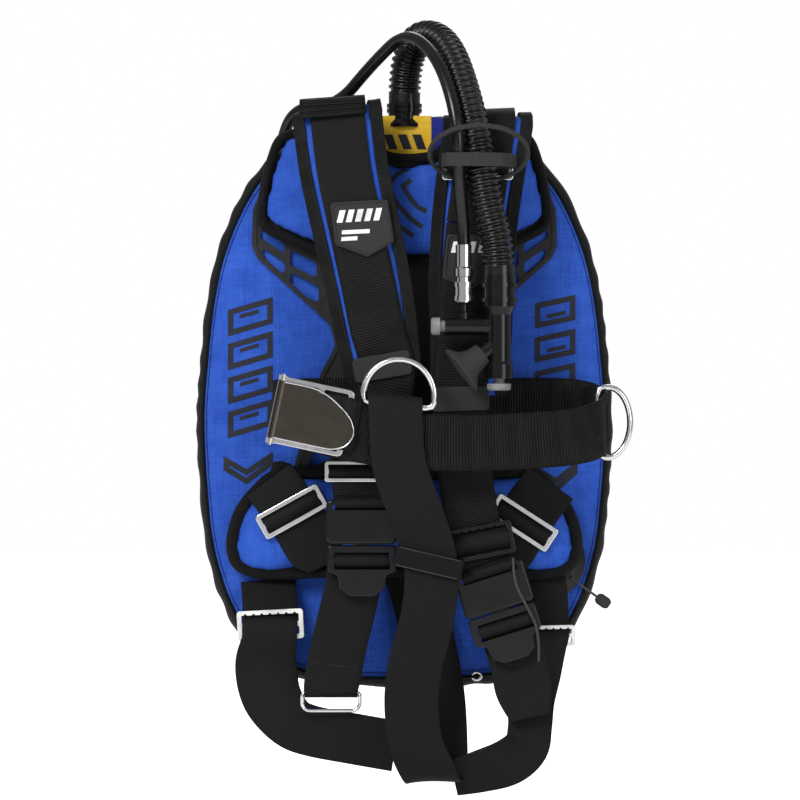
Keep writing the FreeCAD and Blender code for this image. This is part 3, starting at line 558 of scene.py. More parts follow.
@dataclass
class Strap:
    """A length of webbing through stations, with its map running along it.

    Each station is (x, y, z, across x, across y, across z, width), in millimetres.
    """

    name: str
    stations: Sequence[tuple[float, ...]]
    thickness: float = 2.2
    rib: float = 0.0
    rib_pitch: float = 2.3
    curl: float = 0.0
    cut: Flat = (0.0, 0.0)
    area: float = 0.0

    def build(self) -> bpy.types.Object:
        """Build the strap with rounded selvedges.

        Returns:
            The strap's mesh object.
        """
        line = Spline(self.stations)
        length = line.length()
        if self.rib > 0:
            along = int(length / self.rib_pitch * 4)
        else:
            along = max(12, int(length / 3.0))
        samples = line.even(along + 1)
        across = 10
        widths = [sample[6] for sample in samples]
        self.cut = (mm(max(widths)), mm(length))
        self.area = mm(sum(widths) / len(widths)) * mm(length)
        frames = []
        for k, sample in enumerate(samples):
            ahead = Vector(samples[min(k + 1, along)][:3])
            behind = Vector(samples[max(k - 1, 0)][:3])
            forward = (ahead - behind).normalized()
            side = Vector(sample[3:6]).normalized()
            side = (side - forward * side.dot(forward)).normalized()
            frames.append((Vector(sample[:3]), side, side.cross(forward), sample[6]))

        def shape(s: float, t: float) -> Vector:
            """Place on the webbing for two shares."""
            k = round(s * along)
            place, side, up, width = frames[k]
            u = 2 * t - 1
            lift = self.curl * (u * u - 0.33)
            if self.rib > 0:
                lift += self.rib * math.sin(2 * math.pi * k / 4.0 + 0.6)
            edge = 1.0 - 0.35 * smoothstep(0.8, 1.0, abs(u))
            lift *= edge
            return at(*(place + side * (u * width / 2) + up * lift))

        def uv(s: float, t: float) -> Flat:
            """Distance across and along the webbing, in metres."""
            return mm((t - 0.5) * frames[round(s * along)][3]), mm(s * length)

        piece = grid_piece(self.name, along, across, shape, uv)
        solid = piece.modifiers.new("thickness", "SOLIDIFY")
        solid.thickness = mm(self.thickness)
        solid.offset = 0.0
        if self.rib == 0:
            bevel = piece.modifiers.new("selvedge", "BEVEL")
            bevel.width = mm(min(0.7, self.thickness * 0.32))
            bevel.segments = 2
            bevel.limit_method = "ANGLE"
            bevel.angle_limit = math.radians(50)
        return bake_modifiers(piece)


def hang(strap: Strap, finish: Palette,
         replaces: Sequence[str] = ()) -> bpy.types.Object:
    """Build a free length of webbing and dress it.

    Args:
        strap: the strap.
        finish: its surface finish.
        replaces: nodes of the model that it stands for.

    Returns:
        The strap's object.
    """
    piece = finish_piece(strap.build(), finish, replaces=replaces)
    return piece


def dress_node(finish: Palette, *names: str) -> None:
    """Give solids of the model their finish.

    Args:
        finish: the surface finish.
        names: the solids' node names.
    """
    for name in names:
        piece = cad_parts[name]
        if not piece.material_slots:
            piece.data.materials.append(finish.material)
        for slot in piece.material_slots:
            slot.material = finish.material
        LOG.info("dressed %s", name)


def swell(piece: bpy.types.Object, voxel: float = 4.0, pressure: float = 4.0,
          cap: float = 5.0, pinned: float = 0.0) -> bpy.types.Object:
    """Blow up a closed pad by a short cloth simulation and soften it.

    Args:
        piece: the closed mesh.
        voxel: remesh size in millimetres.
        pressure: pressure inside.
        cap: the furthest that a point may move, in millimetres.
        pinned: share of movement taken back everywhere, from 0 to 1.

    Returns:
        The piece, with the result in its mesh.
    """
    remesh = piece.modifiers.new("even", "REMESH")
    remesh.mode = "VOXEL"
    remesh.voxel_size = mm(voxel)
    bake_modifiers(piece)
    rest = [vert.co.copy() for vert in piece.data.vertices]
    cloth = piece.modifiers.new("cloth", "CLOTH")
    cloth.settings.quality = 5
    cloth.settings.mass = 0.3
    cloth.settings.tension_stiffness = 15
    cloth.settings.compression_stiffness = 15
    cloth.settings.use_pressure = True
    cloth.settings.uniform_pressure_force = pressure
    cloth.settings.effector_weights.gravity = 0.0
    cloth.collision_settings.use_collision = False
    scene = bpy.context.scene
    for step in range(1, CLOTH_STEPS + 1):
        scene.frame_set(step)
    bake_modifiers(piece)
    scene.frame_set(1)
    for vert, start in zip(piece.data.vertices, rest):
        move = vert.co - start
        if move.length > mm(cap):
            move = move.normalized() * mm(cap)
        vert.co = start + move * (1.0 - pinned)
    mesh = bmesh.new()
    mesh.from_mesh(piece.data)
    for _ in range(3):
        bmesh.ops.smooth_vert(mesh, verts=mesh.verts, factor=0.5,
                              use_axis_x=True, use_axis_y=True, use_axis_z=True)
    mesh.to_mesh(piece.data)
    mesh.free()
    detail = piece.modifiers.new("detail", "SUBSURF")
    detail.levels = 1
    detail.render_levels = 1
    return bake_modifiers(piece)


def stitches(name: str, line: Sequence[Vector], pitch: float = 3.2,
             radius: float = 0.28) -> bpy.types.Object:
    """Row of short thread stitches along a line.

    Args:
        name: the object's name.
        line: places along the row, in metres.
        pitch: stitch pitch in millimetres.
        radius: thread radius in millimetres.

    Returns:
        The stitches as one object.
    """
    path = Spline([tuple(p) for p in line])
    count = max(2, int(path.length() / mm(pitch)))
    samples = path.even(count * 2 + 1)
    mesh = bmesh.new()
    for k in range(count):
        a, b = Vector(samples[2 * k]), Vector(samples[2 * k + 1])
        turn = (b - a).to_track_quat("Z", "Y").to_matrix().to_4x4()
        stretch = Matrix.Diagonal((1, 1, (b - a).length / mm(radius) * 0.7, 1))
        place = Matrix.Translation((a + b) / 2) @ turn @ stretch
        bmesh.ops.create_icosphere(mesh, subdivisions=1, radius=mm(radius), matrix=place)
    return new_object(name, mesh)


def drape(piece: bpy.types.Object, under: bpy.types.Object, lift: float = 0.35) -> bpy.types.Object:
    """Lay a flat print on the front of another piece.

    Args:
        piece: the print, a surface that faces the front.
        under: the piece that it lies on.
        lift: height above that piece, in millimetres.

    Returns:
        The print.
    """
    tree = BVHTree.FromObject(under, bpy.context.evaluated_depsgraph_get())
    for vert in piece.data.vertices:
        hit = tree.ray_cast(Vector((vert.co.x, -0.5, vert.co.z)), BACKWARD)[0]
        if hit is not None:
            vert.co.y = hit.y - mm(lift)
    return piece


def face_outwards(piece: bpy.types.Object, way: Vector | None = None) -> bpy.types.Object:
    """Make a surface's faces agree, and on an open one make most point the given way."""
    mesh = bmesh.new()
    mesh.from_mesh(piece.data)
    bmesh.ops.recalc_face_normals(mesh, faces=mesh.faces)
    if way is not None and sum(f.normal.dot(way) * f.calc_area() for f in mesh.faces) < 0:
        bmesh.ops.reverse_faces(mesh, faces=mesh.faces)
    mesh.to_mesh(piece.data)
    mesh.free()
    return piece


def printed_bar(name: str, corners: Sequence[Flat], y: float) -> bpy.types.Object:
    """Four-cornered printed bar that faces the front.

    Args:
        name: the object's name.
        corners: (x, z) of the upper left, upper right, lower right and lower left corner.
        y: depth in millimetres.

    Returns:
        The bar as one thin surface.
    """
    points = [Vector(corner) for corner in corners]

    def shape(s: float, t: float) -> Vector:
        """Place on the bar for two shares."""
        x, z = points[0].lerp(points[1], s).lerp(points[3].lerp(points[2], s), t)
        return at(x, y, z)

    return face_outwards(grid_piece(name, 6, 6, shape), FORWARD)


def printed_line(name: str, corners: Sequence[Flat], width: float, y: float) -> bpy.types.Object:
    """Printed line of even width through corners, facing the front.

    Args:
        name: the object's name.
        corners: (x, z) places along the line's middle.
        width: the line's width in millimetres.
        y: depth in millimetres.

    Returns:
        The line as one thin surface.
    """
    points = [Vector(corner) for corner in corners]
    spans = len(points) - 1
    ways = [(b - a).normalized() for a, b in zip(points, points[1:])]

    def offset(i: int) -> Vector:
        """Step from a corner to the side of the line."""
        before, after = ways[max(i - 1, 0)], ways[min(i, spans - 1)]
        na, nb = Vector((before.y, -before.x)), Vector((after.y, -after.x))
        middle = (na + nb).normalized()
        return middle * (width / 2 / max(0.4, middle.dot(na)))

    sides = [offset(i) for i in range(spans + 1)]

    def shape(s: float, t: float) -> Vector:
        """Place on the line for two shares."""
        i = min(int(s * spans + 1e-6), spans - 1)
        f = s * spans - i
        u = 2 * t - 1
        x, z = (points[i] + sides[i] * u).lerp(points[i + 1] + sides[i + 1] * u, f)
        return at(x, y, z)

    return face_outwards(grid_piece(name, spans * 8, 3, shape), FORWARD)


def tilted(middle: Point, turn: float, places: Sequence[Flat]) -> list[Vector]:
    """Places in a plane that faces the front, turned about Y.

    Args:
        middle: the plane's zero in millimetres.
        turn: turn about Y in degrees.
        places: (across, up) places in millimetres.

    Returns:
        The places in metres.
    """
    c, s = math.cos(math.radians(turn)), math.sin(math.radians(turn))
    x, y, z = middle
    return [at(x + u * c + v * s, y, z - u * s + v * c) for u, v in places]


def bar_cover(name: str, middle: Point, tilt: float, width: float, half: float,
              rise: float) -> bpy.types.Object:
    """Webbing that comes up through a slide, over its middle bar and down again.

    Args:
        name: the object's name.
        middle: the slide's middle in millimetres.
        tilt: the slide's turn about Y in degrees.
        width: webbing width.
        half: half the height that the webbing covers.
        rise: how far the webbing stands in front of the slide's middle.

    Returns:
        The cover.
    """
    lean = math.radians(tilt)
    along = Vector((math.sin(lean), 0, math.cos(lean)))
    across = (math.cos(lean), 0, -math.sin(lean))
    stations = []
    for step, depth in ((1.0, 4.2), (0.62, -0.4), (0.3, -rise),
                        (-0.3, -rise), (-0.62, -0.4), (-1.0, 4.2)):
        place = Vector(middle) + along * (half * step) + Vector((0, depth, 0))
        stations.append((*place, *across, width))
    return finish_piece(Strap(name, stations, 1.7).build(), Palette.WEB)


# ------------------------------------------------------------------ studio
@dataclass
class Studio:
    """White floor, soft lights and a long lens looking straight at the front."""

    distance: float = 3.6
    width_seen: float = 0.72
    middle: Point = (-0.004, -0.16, -0.135)
    floor_z: float = -0.5
    glow: float = 0.34
    sensor: float = 36.0
    floor_glow: float = 0.25
    floor_glow_seen: float = 0.7

    def camera(self) -> None:
        """Create the camera and make it the scene's."""
        data = bpy.data.cameras.new("camera")
        data.sensor_width = self.sensor
        data.lens = self.sensor * self.distance / self.width_seen
        data.clip_end = 50.0
        lens = bpy.data.objects.new("camera", data)
        lens.location = (self.middle[0], self.middle[1] - self.distance, self.middle[2])
        lens.rotation_euler = (math.radians(90), 0, 0)
        bpy.context.scene.collection.objects.link(lens)
        bpy.context.scene.camera = lens

    def light(self, name: str, place: Point, size: float, power: float) -> None:
        """Add one square soft light aimed at the middle.

        Args:
            name: the light's name.
            place: where it hangs, in metres.
            size: edge of the square.
            power: watts.
        """
        data = bpy.data.lights.new(name, "AREA")
        data.size = size
        data.energy = power
        lamp = bpy.data.objects.new(name, data)
        lamp.location = place
        lamp.rotation_euler = (Vector(self.middle) - Vector(place)).to_track_quat("-Z",
                                                                                  "Y").to_euler()
        bpy.context.scene.collection.objects.link(lamp)

    def build(self) -> None:
        """Build the floor, the white surroundings and the lights."""
        nodes = self.card("floor", Matrix.Translation((0, 0, self.floor_z)), 6.0, 0.9)
        nodes.set(Emission_Color=(1, 1, 1, 1))
        seen = nodes.add("LightPath").outputs["Is Camera Ray"]
        glow = nodes.math("MULTIPLY_ADD", seen, self.floor_glow_seen, self.floor_glow)
        nodes.link(glow, nodes.shader.inputs["Emission Strength"])
        world = bpy.data.worlds.new("white_room")
        world.use_nodes = True
        tree = world.node_tree
        glow = tree.nodes["Background"]
        glow.inputs["Color"].default_value = (1, 1, 1, 1)
        glow.inputs["Strength"].default_value = self.glow
        seen = tree.nodes.new("ShaderNodeBackground")
        seen.inputs["Color"].default_value = (1, 1, 1, 1)
        seen.inputs["Strength"].default_value = 1.0
        mix = tree.nodes.new("ShaderNodeMixShader")
        path = tree.nodes.new("ShaderNodeLightPath")
        tree.links.new(path.outputs["Is Camera Ray"], mix.inputs["Fac"])
        tree.links.new(glow.outputs["Background"], mix.inputs[1])
        tree.links.new(seen.outputs["Background"], mix.inputs[2])
        tree.links.new(mix.outputs["Shader"], tree.nodes["World Output"].inputs["Surface"])
        bpy.context.scene.world = world
        bpy.context.scene.view_settings.view_transform = "Standard"
        self.light("key_light", (-1.3, -2.3, 1.5), 1.0, 60)
        self.light("fill_light", (1.7, -2.0, 0.4), 1.2, 17)
        self.light("rim_light", (0.4, 1.8, 1.6), 1.2, 16)
        upright = Matrix.Rotation(math.radians(90), 4, "Y")
        for name, x in (("left_flag", -1.9), ("right_flag", 2.1)):
            self.card(name, Matrix.Translation((x, -1.2, -0.1)) @ upright, 0.55, 0.01)

    def card(self, name: str, place: Matrix, half: float, shade: float) -> Nodes:
        """Add a flat grey square to the set, such as the floor or a black flag.

        Args:
            name: the object's name.
            place: its place and turn.
            half: half its edge, in metres.
            shade: how pale its grey is, from 0 to 1.

        Returns:
            Its material's nodes.
        """
        mesh = bmesh.new()
        bmesh.ops.create_grid(mesh, x_segments=2, y_segments=2, size=half, matrix=place)
        card = new_object(name, mesh)
        nodes = Nodes(name)
        nodes.set(Base_Color=(shade, shade, shade, 1), Roughness=0.9)
        card.data.materials.append(nodes.material)
        return nodes


# ------------------------------------------------------------------ hoses and cords
class HoseLine:
    """A route's smooth line and the frames along it."""

    def __init__(self, name: str, route: Sequence[Point]) -> None:
        """Keep the name and the route."""
        self.name = name
        self.route = route

    def curve(self, radius: float = 0.0) -> bpy.types.Object:
        """The route as one NURBS spline.

        Args:
            radius: half the cord's thickness in metres, or 0 for a bare line.

        Returns:
            The curve object.
        """
        data = bpy.data.curves.new(self.name, "CURVE")
        data.dimensions = "3D"
        data.resolution_u = 16
        data.bevel_depth = radius
        data.bevel_resolution = 4
        data.use_fill_caps = True
        spline = data.splines.new("NURBS")
        spline.points.add(len(self.route) - 1)
        for point, place in zip(spline.points, self.route):
            point.co = (*at(*place), 1.0)
        spline.order_u = 3
        spline.use_endpoint_u = True
        piece = bpy.data.objects.new(self.name, data)
        bpy.context.scene.collection.objects.link(piece)
        return piece

    def places(self) -> list[Vector]:
        """Places along the smooth line, read from the spline itself."""
        bare = self.curve()
        mesh = bpy.data.meshes.new_from_object(bare)
        places = [vert.co.copy() for vert in mesh.vertices]
        bpy.data.meshes.remove(mesh)
        data = bare.data
        bpy.data.objects.remove(bare)
        bpy.data.curves.remove(data)
        return places


def run_length(places: Sequence[Vector]) -> float:
    """Length of the runs between places."""
    return sum((b - a).length for a, b in zip(places, places[1:]))


def frames_along(places: Sequence[Vector],
                 count: int) -> list[tuple[Vector, Vector, Vector, float]]:
    """Even frames along places: (place, side, up, distance from the start).

    Args:
        places: places along a line.
        count: how many frames.

    Returns:
        The frames, turned as little as possible from one to the next.
    """
    path = Spline([tuple(p) for p in places])
    samples = [Vector(p) for p in path.even(count)]
    total = run_length(samples)
    side = Vector((1, 0, 0))
    out = []
    for k, place in enumerate(samples):
        forward = (samples[min(k + 1, count - 1)] - samples[max(k - 1, 0)]).normalized()
        side = (side - forward * side.dot(forward)).normalized()
        out.append((place, side, forward.cross(side), total * k / (count - 1)))
    return out


@dataclass
class Hoses:
    """Corrugated inflation hose, low-pressure hose and the quick-release cord."""

    ring_pitch: float = 5.9
    outer: float = 15.0
    inner: float = 12.6
    cuff: float = 9.0

    def corrugated(self) -> None:
        """Build the corrugated hose with smooth cuffs at both ends."""
        route = [(0, 9, 226), (0, 9, 283), (36, -34, 287), (60, -88, 208), (72, -91, 133),
                 (84, -88, 90), (84, -88, 66)]
        places = HoseLine("corrugated_line", route).places()
        length = run_length(places) * 1000
        along = int(length / self.ring_pitch) * 8
        frames = frames_along(places, along + 1)

        def radius(distance: float) -> float:
            """Radius in millimetres at a distance along the hose."""
            if distance < self.cuff or distance > length - self.cuff:
                return self.outer - 0.7
            wave = math.cos(2 * math.pi * (distance - self.cuff) / self.ring_pitch)
            crest = 0.5 + 0.5 * math.copysign(abs(wave) ** 0.55, wave)
            return self.inner + (self.outer - self.inner) * crest

        def shape(s: float, t: float) -> Vector:
            """Place on the hose for two shares."""
            place, side, up, distance = frames[round(s * along)]
            r = mm(radius(distance * 1000))
            angle = 2 * math.pi * t
            return place + side * (r * math.cos(angle)) + up * (r * math.sin(angle))

        piece = face_outwards(grid_piece("corrugated_hose_skin", along, 28, shape))
        finish_piece(piece, Palette.HOSE_SKIN, replaces=["corrugated_hose"])

    def low_pressure(self) -> None:
        """Build the low-pressure hose with its crimped sleeves."""
        route = [(52.6, -88, 93), (52.6, -88, 112), (48.5, -99, 150), (47, -107, 205),
                 (30, -76, 262), (2, -36, 289),
                 (-30, -8, 260), (-62, 12, 223), (-106, 34, 224), (-118, 66, 168), (-118, 70, 114),
                 (-117, 71, 64)]
        line = HoseLine("lp_hose_skin", route)
        length = run_length(line.places())
        piece = line.curve(mm(LP_HOSE_RADIUS))
        finish_piece(piece, Palette.HOSE_SKIN, replaces=["lp_hose"])
        dress_node(Palette.CHROME, "lp_fitting")

    def release(self) -> None:
        """Build the thin release cord on the right clip."""
        route = [(97, -74.6, -186), (97, -76, -206), (108, -77, -227), (121, -74, -252),
                 (120, -68, -279)]
        line = HoseLine("release_cord_skin", route)
        length = run_length(line.places())
        piece = line.curve(mm(CORD_RADIUS))
        finish_piece(piece, Palette.CORD, replaces=["release_cord"])

    def build(self) -> None:
        """Build the cords."""
        self.corrugated()
        self.low_pressure()
        self.release()


# ------------------------------------------------------------------ wing
@dataclass
class Wing:
    """Air cell of two lobes: blue front panel, black puckered rim and back with a tank lane."""

    right: tuple[Flat, ...] = (
        (0, 215), (60, 211), (104, 192), (141, 157), (167, 104), (180, 52), (187, -9),
        (190.5, -66), (187, -135), (180, -189), (163, -240), (136, -281), (98, -300), (45, -307))
    front_y: float = 4.0
    back_y: float = 54.0
    seam: float = 0.968
    lane_half: float = 98.0
    lane_y: float = 14.0
    pleats: int = 44
    pleat_groups: int = 7
    valve_rim_y: float = 4.3
    valve_seat_y: float = 15.2
    fold_share: float = 0.12
    print_lift: float = 0.35

    def __post_init__(self) -> None:
        """Prepare the outline."""
        left = [(-x, z) for x, z in reversed(self.right) if x > 0]
        self.outline = Spline(list(self.right) + left, closed=True)
        self.reach = []
        for k in range(720):
            x, z = self.outline(k / 720)
            self.reach.append((math.atan2(z - WING_MIDDLE_Z, x), math.hypot(x, z - WING_MIDDLE_Z)))
        self.reach.sort()

    @staticmethod
    def inwards(x: float, z: float, share: float) -> Flat:
        """A place drawn in to a share of its way from the wing's middle."""
        return x * share, WING_MIDDLE_Z + (z - WING_MIDDLE_Z) * share

    def pucker(self, x: float, z: float) -> float:
        """Pinch of the rim in the direction of a place, from -1 to 1."""
        turn = 2 * math.pi * (math.atan2(z - WING_MIDDLE_Z, x) / (2 * math.pi) + 0.5)
        wave = math.sin(turn * self.pleats + 2.0 * math.sin(turn * self.pleat_groups))
        spot = Vector((math.cos(turn) * 9, math.sin(turn) * 9, 3.1))
        return 0.6 * wave + 0.4 * noise.noise(spot)

    def panel_y(self, x: float, z: float) -> float:
        """Depth of the front panel's surface in millimetres."""
        r = self.share(x, z)
        puff = 3.4 * smoothstep(0.35, 0.78, r) * (1 - smoothstep(0.86, 0.985, r))
        broad = noise.noise(Vector((x / 38, z / 52, 0.3))) * 1.3
        ripple = broad + noise.noise(Vector((x / 15, z / 21, 1.7))) * 0.5
        edge = smoothstep(0.7, 0.95, r)
        depth = self.front_y - puff + ripple * (0.35 + 0.5 * edge) + edge * 1.3 * self.pucker(x, z)
        valve_gap = math.hypot(x - VALVE_X, z - VALVE_Z)
        depth += max(0.0, self.valve_rim_y - depth) * (1 - smoothstep(38.0, 52.0, valve_gap))
        return depth + (self.valve_seat_y - depth) * (1 - smoothstep(27.0, 34.5, valve_gap))

    def share(self, x: float, z: float) -> float:
        """How far out a place lies, 0 at the middle and 1 on the outline."""
        dz = z - WING_MIDDLE_Z
        key = math.atan2(dz, x)
        table = self.reach
        low, high = 0, len(table) - 1
        while high - low > 1:
            mid = (low + high) // 2
            if table[mid][0] < key:
                low = mid
            else:
                high = mid
        a, b = table[low], table[high]
        f = 0.0 if b[0] == a[0] else min(1.0, max(0.0, (key - a[0]) / (b[0] - a[0])))
        return math.hypot(x, dz) / (a[1] + (b[1] - a[1]) * f)

    def front(self) -> None:
        """Build the blue front panel out to its seam."""
        def shape(s: float, t: float) -> Vector:
            """Place on the panel for two shares."""
            px, pz = self.inwards(*self.outline(s), self.seam * t ** 0.75)
            return at(px, self.panel_y(px, pz), pz)

        piece = face_outwards(grid_piece("wing_front_cloth", 300, 70, shape), FORWARD)
        finish_piece(piece, Palette.BLUE, replaces=["wing_front_panel"])

    def back_depth(self, x: float, z: float, r: float) -> float:
        """Depth of the back's surface: two lobes beside the tank lane."""
        lobe = smoothstep(self.lane_half - 12, self.lane_half + 16, abs(x))
        crown = 1 - smoothstep(0.72, 1.0, r) ** 1.6 * 0.55
        quilt = noise.noise(Vector((x / 30, z / 42, 6.0))) * 1.4
        full = self.lane_y + (self.back_y - self.lane_y) * crown
        return self.lane_y + (full - self.lane_y) * lobe + quilt * (0.3 + lobe)

    def shell(self) -> None:
        """Build the black rim and back as one surface behind the seam."""
        def shape(s: float, t: float) -> Vector:
            """Place on the rim or the back for two shares."""
            x, z = self.outline(s)
            pinch = self.pucker(x, z)
            if t < self.fold_share:
                f = t / self.fold_share
                r = self.seam - 0.004 + (1.0 - self.seam + 0.004) * math.sin(f * math.pi / 2)
                y = self.panel_y(*self.inwards(x, z, self.seam))
                y += 0.6 + 14.0 * (1 - math.cos(f * math.pi / 2))
                r += 0.006 * pinch * math.sin(f * math.pi / 2)
                y += 1.2 * pinch * math.sin(f * math.pi)
            else:
                f = (t - self.fold_share) / (1 - self.fold_share)
                r = 1.0 - f ** 1.35
                bulge = 1 - smoothstep(0.0, 0.16, f)
                y = self.back_depth(*self.inwards(x, z, r), r)
                y = y + (18.6 - y) * bulge
                r += 0.006 * pinch * bulge
            px, pz = self.inwards(x, z, r)
            return at(px, y, pz)

        piece = face_outwards(grid_piece("wing_back_cloth", 300, 90, shape), BACKWARD)
        finish_piece(piece, Palette.BLACK_CLOTH, replaces=["wing_back_panel", "wing_bladder"])

    def piping(self) -> None:
        """Build the seam tape between the panel and the rim, with its stitching."""
        line = []
        inner = []
        for k in range(360):
            for share, out in ((self.seam, line), (self.seam - 0.02, inner)):
                px, pz = self.inwards(*self.outline(k / 360), share)
                out.append(at(px, self.panel_y(px, pz) - 0.5, pz))
        finish_piece(tube_line("wing_seam_piping", line, mm(1.9), closed=True), Palette.BINDING)
        thread = tube_line("wing_seam_thread", inner, mm(0.28), closed=True, sides=4)
        finish_piece(thread, Palette.BLACK_CLOTH)

    def print_loops(self) -> None:
        """Print generic slanted frames, bars and chevrons on both lobes."""
        loops = []
        for k in range(4):
            z = 34 - 31 * k
            loops.append([(-161, z + 3), (-120, z + 15), (-120, z - 9), (-161, z - 21)])
            loops.append([(119, z + 9), (156, z + 17), (156, z - 6), (119, z - 14)])
        loops.append([(-165, -96), (-144, -108), (-120, -92), (-120, -104), (-144, -122),
                      (-165, -109)])
        loops.append([(119, -104), (138, -116), (158, -100), (158, -112), (138, -130), (119, -117)])
        for k, loop in enumerate(loops):
            finish_piece(self.stroke(f"wing_print_{k:02d}", loop, 5.0), Palette.PRINT)
        for k in range(4):
            z = 31 - 31 * k
            for side, x, rise in (("left", -150, 0.29), ("right", 130, 0.22)):
                end = z + 17 * rise
                corners = [(x, z + 1.8), (x + 17, end + 1.8), (x + 17, end - 1.8), (x, z - 1.8)]
                bar = printed_bar(f"wing_print_bar_{side}_{k}", corners, 0)
                for vert in bar.data.vertices:
                    depth = self.panel_y(vert.co.x * 1000, vert.co.z * 1000 + UPPER_BAND_Z)
                    vert.co.y = at(0, depth - self.print_lift, 0).y
                finish_piece(bar, Palette.PRINT)

    def stroke(self, name: str, loop: Sequence[Flat], width: float) -> bpy.types.Object:
        """Closed printed stroke draped on the panel.

        Args:
            name: the object's name.
            loop: (x, z) corners in millimetres, clockwise.
            width: stroke width in millimetres.

        Returns:
            The stroke as one thin surface.
        """
        count = len(loop)
        inner = []
        for i in range(count):
            here, after = Vector(loop[i]), Vector(loop[(i + 1) % count])
            before = Vector(loop[i - 1])
            a, b = (here - before).normalized(), (after - here).normalized()
            na, nb = Vector((a.y, -a.x)), Vector((b.y, -b.x))
            bisector = (na + nb).normalized()
            inner.append(here + bisector * (width / max(0.35, bisector.dot(na))))
        steps = 12
        total = count * steps

        def shape(s: float, t: float) -> Vector:
            """Place on the stroke for two shares."""
            place = s * count
            i = min(int(place + 1e-6), count - 1)
            f = place - i
            outer_p = Vector(loop[i]).lerp(Vector(loop[(i + 1) % count]), f)
            inner_p = inner[i].lerp(inner[(i + 1) % count], f)
            x, z = outer_p.lerp(inner_p, t)
            return at(x, self.panel_y(x, z) - self.print_lift, z)

        return face_outwards(grid_piece(name, total, 4, shape), FORWARD)

    def neck(self) -> None:
        """Build the yellow patch with its marks and trim, and dress the nozzle."""
        def patch(s: float, t: float) -> Vector:
            """Place on the yellow patch for two shares."""
            x = -27 + 52 * s
            low = 180.5 - 3.0 * math.sin(math.pi * s)
            z = 214 + (low - 214) * t
            return at(x, -3.0 + 0.0024 * x * x + 0.7 * noise.noise(Vector((x / 14, z / 14, 4))), z)

        yellow = face_outwards(grid_piece("neck_patch_cloth", 30, 20, patch), FORWARD)
        finish_piece(yellow, Palette.YELLOW, replaces=["neck_patch"])

        def corner(s: float, t: float) -> Vector:
            """Place on the navy corner for two shares."""
            x = 24.5 + 15 * s
            low = 179 + 12 * s * s
            return at(x, -2.2, 213 - 2 * s + (low - 213 + 2 * s) * t)

        navy = face_outwards(grid_piece("neck_corner_cloth", 8, 10, corner), FORWARD)
        finish_piece(navy, Palette.NAVY)
        trim = Spline([(-32, 204), (-28, 188), (-16, 179.5), (0, 176.5), (16, 177),
                       (30, 182), (39, 193), (42, 206)])
        line = [at(x, -3.4, z) for x, z in trim.even(60, axes=2)]
        finish_piece(tube_line("neck_trim", line, mm(2.7), sides=12), Palette.BINDING)
        fold = [at(x, -3.6 + 0.003 * x * x, 208.5 + 0.4 * math.sin(x / 5))
                for x in range(-26, 25, 2)]
        finish_piece(stitches("neck_stitches", fold, 2.4, 0.22), Palette.YELLOW)
        dress_node(Palette.PLASTIC, "wing_nozzle")
        eyelet = [at(66 + 4.2 * math.cos(a), 2.5, -297 + 3.4 * math.sin(a))
                  for a in (math.pi * k / 12 for k in range(24))]
        finish_piece(tube_line("wing_eyelet", eyelet, mm(1.3), closed=True, sides=8), Palette.STEEL)
        for k, x in enumerate((-19, -6, 7)):
            corners = [(x, 197), (x + 8, 197), (x + 13, 183.5), (x + 5, 183.5)]
            finish_piece(drape(printed_bar(f"neck_mark_{k}", corners, 0), yellow), Palette.PRINT)

    def build(self) -> None:
        """Build and dress the wing."""
        self.front()
        self.shell()
        self.piping()
        self.print_loops()
        self.neck()


